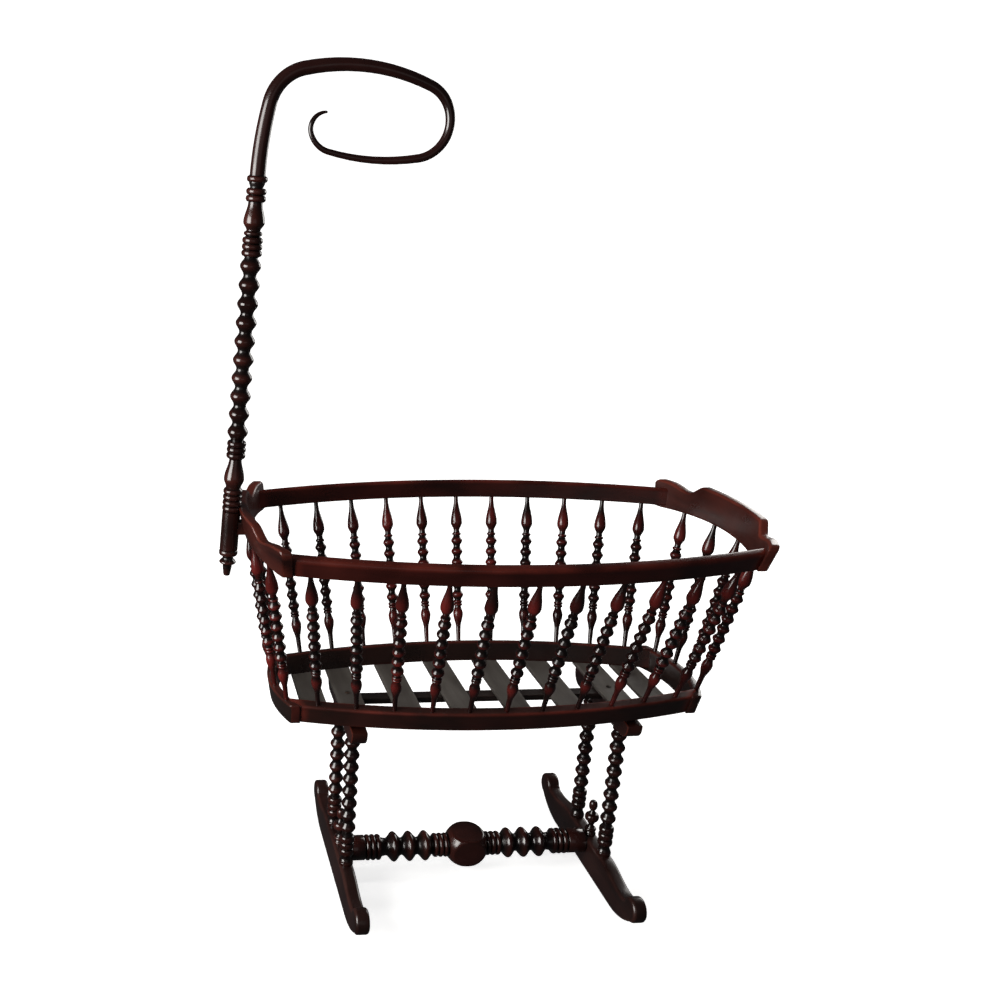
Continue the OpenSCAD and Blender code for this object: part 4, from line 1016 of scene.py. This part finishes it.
MAST_LENGTH = 835
MAST_LEAN = math.radians(3.2)
MAST_PLAIN_R = 19.5 * MM
BLOCK_LOW_Z = TOP_RAIL_Z + 10 * MM
BLOCK_HIGH_Z = TOP_RAIL_Z + 38 * MM
BLOCK_HALF_WIDTH = 13 * MM
BLOCK_MID_Z = (BLOCK_LOW_Z + BLOCK_HIGH_Z) / 2
BLOCK_THICKNESS = 8 * MM
BLOCK_LEAST = 0.2 * MM
MAST_TIP_Z = TOP_RAIL_Z - 86 * MM
MAST_TIP_REACH = (board_x(BLOCK_MID_Z, 0, BOARD_THICKNESS) + BLOCK_THICKNESS + MAST_PLAIN_R
                  + (BLOCK_MID_Z - MAST_TIP_Z) * math.tan(MAST_LEAN))


def mast_block():
    sides = np.linspace(-BLOCK_HALF_WIDTH, BLOCK_HALF_WIDTH, 9)
    outline = [(0, y) for y in sides[::-1]] + [(1, y) for y in sides]
    rings = []
    for z, by in eased_ends(BLOCK_LOW_Z, BLOCK_HIGH_Z, 1.5 * MM, 6):
        ring = []
        for share, y in outline:
            y *= 1 - by / BLOCK_HALF_WIDTH
            axis = MAST_TIP_REACH - (z - MAST_TIP_Z) * math.tan(MAST_LEAN)
            board = board_x(z, y, BOARD_THICKNESS)
            mast = axis - math.sqrt((MAST_PLAIN_R / math.cos(MAST_LEAN)) ** 2 - y ** 2)
            ring.append((STAND_MIDDLE - board - share * max(mast - board, BLOCK_LEAST), y, z))
        rings.append(np.array(ring))
    points = np.vstack(rings)
    return flipped(Shape(points, skinned(rings), np.zeros(len(points)), points[:, (0, 2, 1)]))


finished("cradle_mast_block", mast_block(), board_wood, "basket")

# ---- Mast screws ----
# Two iron screws run from the headboard's inner face through the block into the mast. They keep their
# shapes from the construction.

repaint("mast_screws", iron)

# ---- Mast ----
# A tall turned mast stands at the head, from a small pendant below the board to the foot of the crook:
# a plain part notched over the board, then rings, a vase, ten peaked beads and a second vase.

NOTCH_GAP = 0.05 * MM


def mast_profile():
    plain, ring, belly, waist, disc, cup = 19.5, 20.25, 21.5, 13, 18.25, 7.5
    tip = [(2.5, 0.2), (4.5, 0.6), (6.5, 1.6), (cup, 5)]
    stem_end, disc_z, disc_end, ring_z, plain_z, low_rings = 24, 32, 42, 48, 60, 147
    low_vase, low_belly, mid_rings, beads_end = 199, 217.6, 263, 679
    ring_end, high_vase, high_belly, high_rings, neck, last_ring, last_end = 728, 729, 745, 784, 811, 822, 834
    pitch, plain_wear = 12.5, 0.2
    beads_start, high_end = mid_rings + 3 * pitch, beads_end + 3 * pitch
    plain_part = [(plain, z, plain_wear) for z in np.linspace(plain_z + 2, low_rings - 1.5, 42)]
    return (tip + flow(6, stem_end, cup + 0.5, cup + 2.5, 5) + flow(stem_end, disc_z, cup + 2.5, disc, 8)
            + flow(disc_z, disc_end, disc, cup + 4, 8) + flow(disc_end + 1, ring_z, cup + 4, plain - 3, 4)
            + bead(ring_z, plain_z, plain - 2, ring)
            + [(plain - 2, plain_z), (plain - 0.6, plain_z + 0.6), (plain, plain_z + 1.5)] + plain_part
            + [(plain - 0.6, low_rings - 1)]
            + beads(low_rings, low_rings + 4 * pitch, 4, ring - 4, ring + 0.5)
            + swell(low_vase, low_belly, plain - 3.5, belly) + swell(low_belly, mid_rings, belly, waist, 16)
            + beads(mid_rings, beads_start, 3, ring - 4.5, ring)
            + waves(beads_start, beads_end, 10, waist, belly, steps=18)
            + beads(beads_end, high_end, 3, ring - 4, ring + 0.5)
            + flow(high_end, high_end + 2.5, ring - 4, waist + 1, 2)
            + bead(high_end + 2.5, ring_end, waist + 1, ring - 1.5, 7)
            + swell(high_vase, high_belly, waist + 1, belly)
            + swell(high_belly, high_rings, belly, waist + 1.5, 14)
            + beads(high_rings, neck, 2, waist + 1.5, ring) + flow(neck, last_ring, waist, ring - 4, 6)
            + bead(last_ring, last_end, ring - 4, ring + 0.5)
            + [(plain - 3, last_end), (plain - 3, MAST_LENGTH)])


def notched(shape):
    """The mast, cut back where it passes over the board's outer face."""
    points = shape.points.copy()
    for i, (x, y, z) in enumerate(points):
        if z < CREST_Z:
            points[i, 0] = min(x, STAND_MIDDLE - board_x(z, y, BOARD_THICKNESS + NOTCH_GAP))
    return shape._replace(points=points)


mast_place = (Matrix.Translation((STAND_MIDDLE - MAST_TIP_REACH, 0, MAST_TIP_Z))
              @ Matrix.Rotation(MAST_LEAN, 4, "Y"))
finished("cradle_mast", notched(moved(turned(mast_profile(), 48), mast_place)), turned_wood, "basket")

# ---- Crook ----
# A smooth mahogany rod bent over the basket, standing in the mast: a slightly bowed shaft, a shoulder, a
# long bow, a turn at the far end, a long bow back underneath, and a curl. It tapers to a small round tip.

# Each arc's (radius in millimetres, turn in degrees), from the mast to the tip
CROOK_ARCS = ((740, 10.6), (86, 64), (406, 36), (71, 147), (435, 24), (49, 59), (31, 104))
crook_wood = polished_wood("mahogany_crook", DARK_DEEP, (0.013, 0.0034, 0.0030), (0.06, 0.012, 0.009),
                           coat=0.8, rub=0.1)


def crook_line():
    """Points along the crook: (x, z, heading, length so far), in millimetres from the mast's top."""
    x = z = heading = run = 0.0
    line = [(x, z, heading, run)]
    for radius, turn in CROOK_ARCS:
        count = max(8, math.ceil(turn / 3))
        for _ in range(count):
            after = heading + math.radians(turn) / count
            x += radius * (math.cos(heading) - math.cos(after))
            z += radius * (math.sin(after) - math.sin(heading))
            run += radius * (after - heading)
            heading = after
            line.append((x, z, heading, run))
    return line


def crook():
    thick, thin, taper, sides, wear = 15.8, 4.5, 1.15, 32, 0.1
    drawn_long, drawn_in, bluntness = 40, 0.45, 0.98
    line = crook_line()
    x, z, h, long = line[-1]
    stations = []
    for *place, run in line:
        point = max(run - long + drawn_long, 0) / drawn_long
        radius = (thick + (thin - thick) * (run / long) ** taper) * (1 - drawn_in * point ** 2)
        stations.append((*place, run, radius))
    for a in np.radians((20, 40, 60, 80)):
        ahead = radius * bluntness * math.sin(a)
        stations.append((x + ahead * math.sin(h), z + ahead * math.cos(h), h, long + ahead,
                         radius * math.cos(a)))
    rings = []
    grain = []
    for x, z, h, run, r in stations:
        turns = [(r * math.cos(a), r * math.sin(a)) for a in np.arange(sides) * 2 * math.pi / sides]
        rings.append(np.array([(x + out * math.cos(h), y, z - out * math.sin(h)) for out, y in turns]) * MM)
        grain.append(np.array([(out, y, run) for out, y in turns]) * MM)
    return Shape(np.vstack(rings), skinned(rings), np.full(len(rings) * sides, wear), np.vstack(grain))


crook_place = mast_place @ Matrix.Translation((0, 0, MAST_LENGTH * MM))
finished("cradle_crook", moved(crook(), crook_place), crook_wood, "basket", sharp=60)
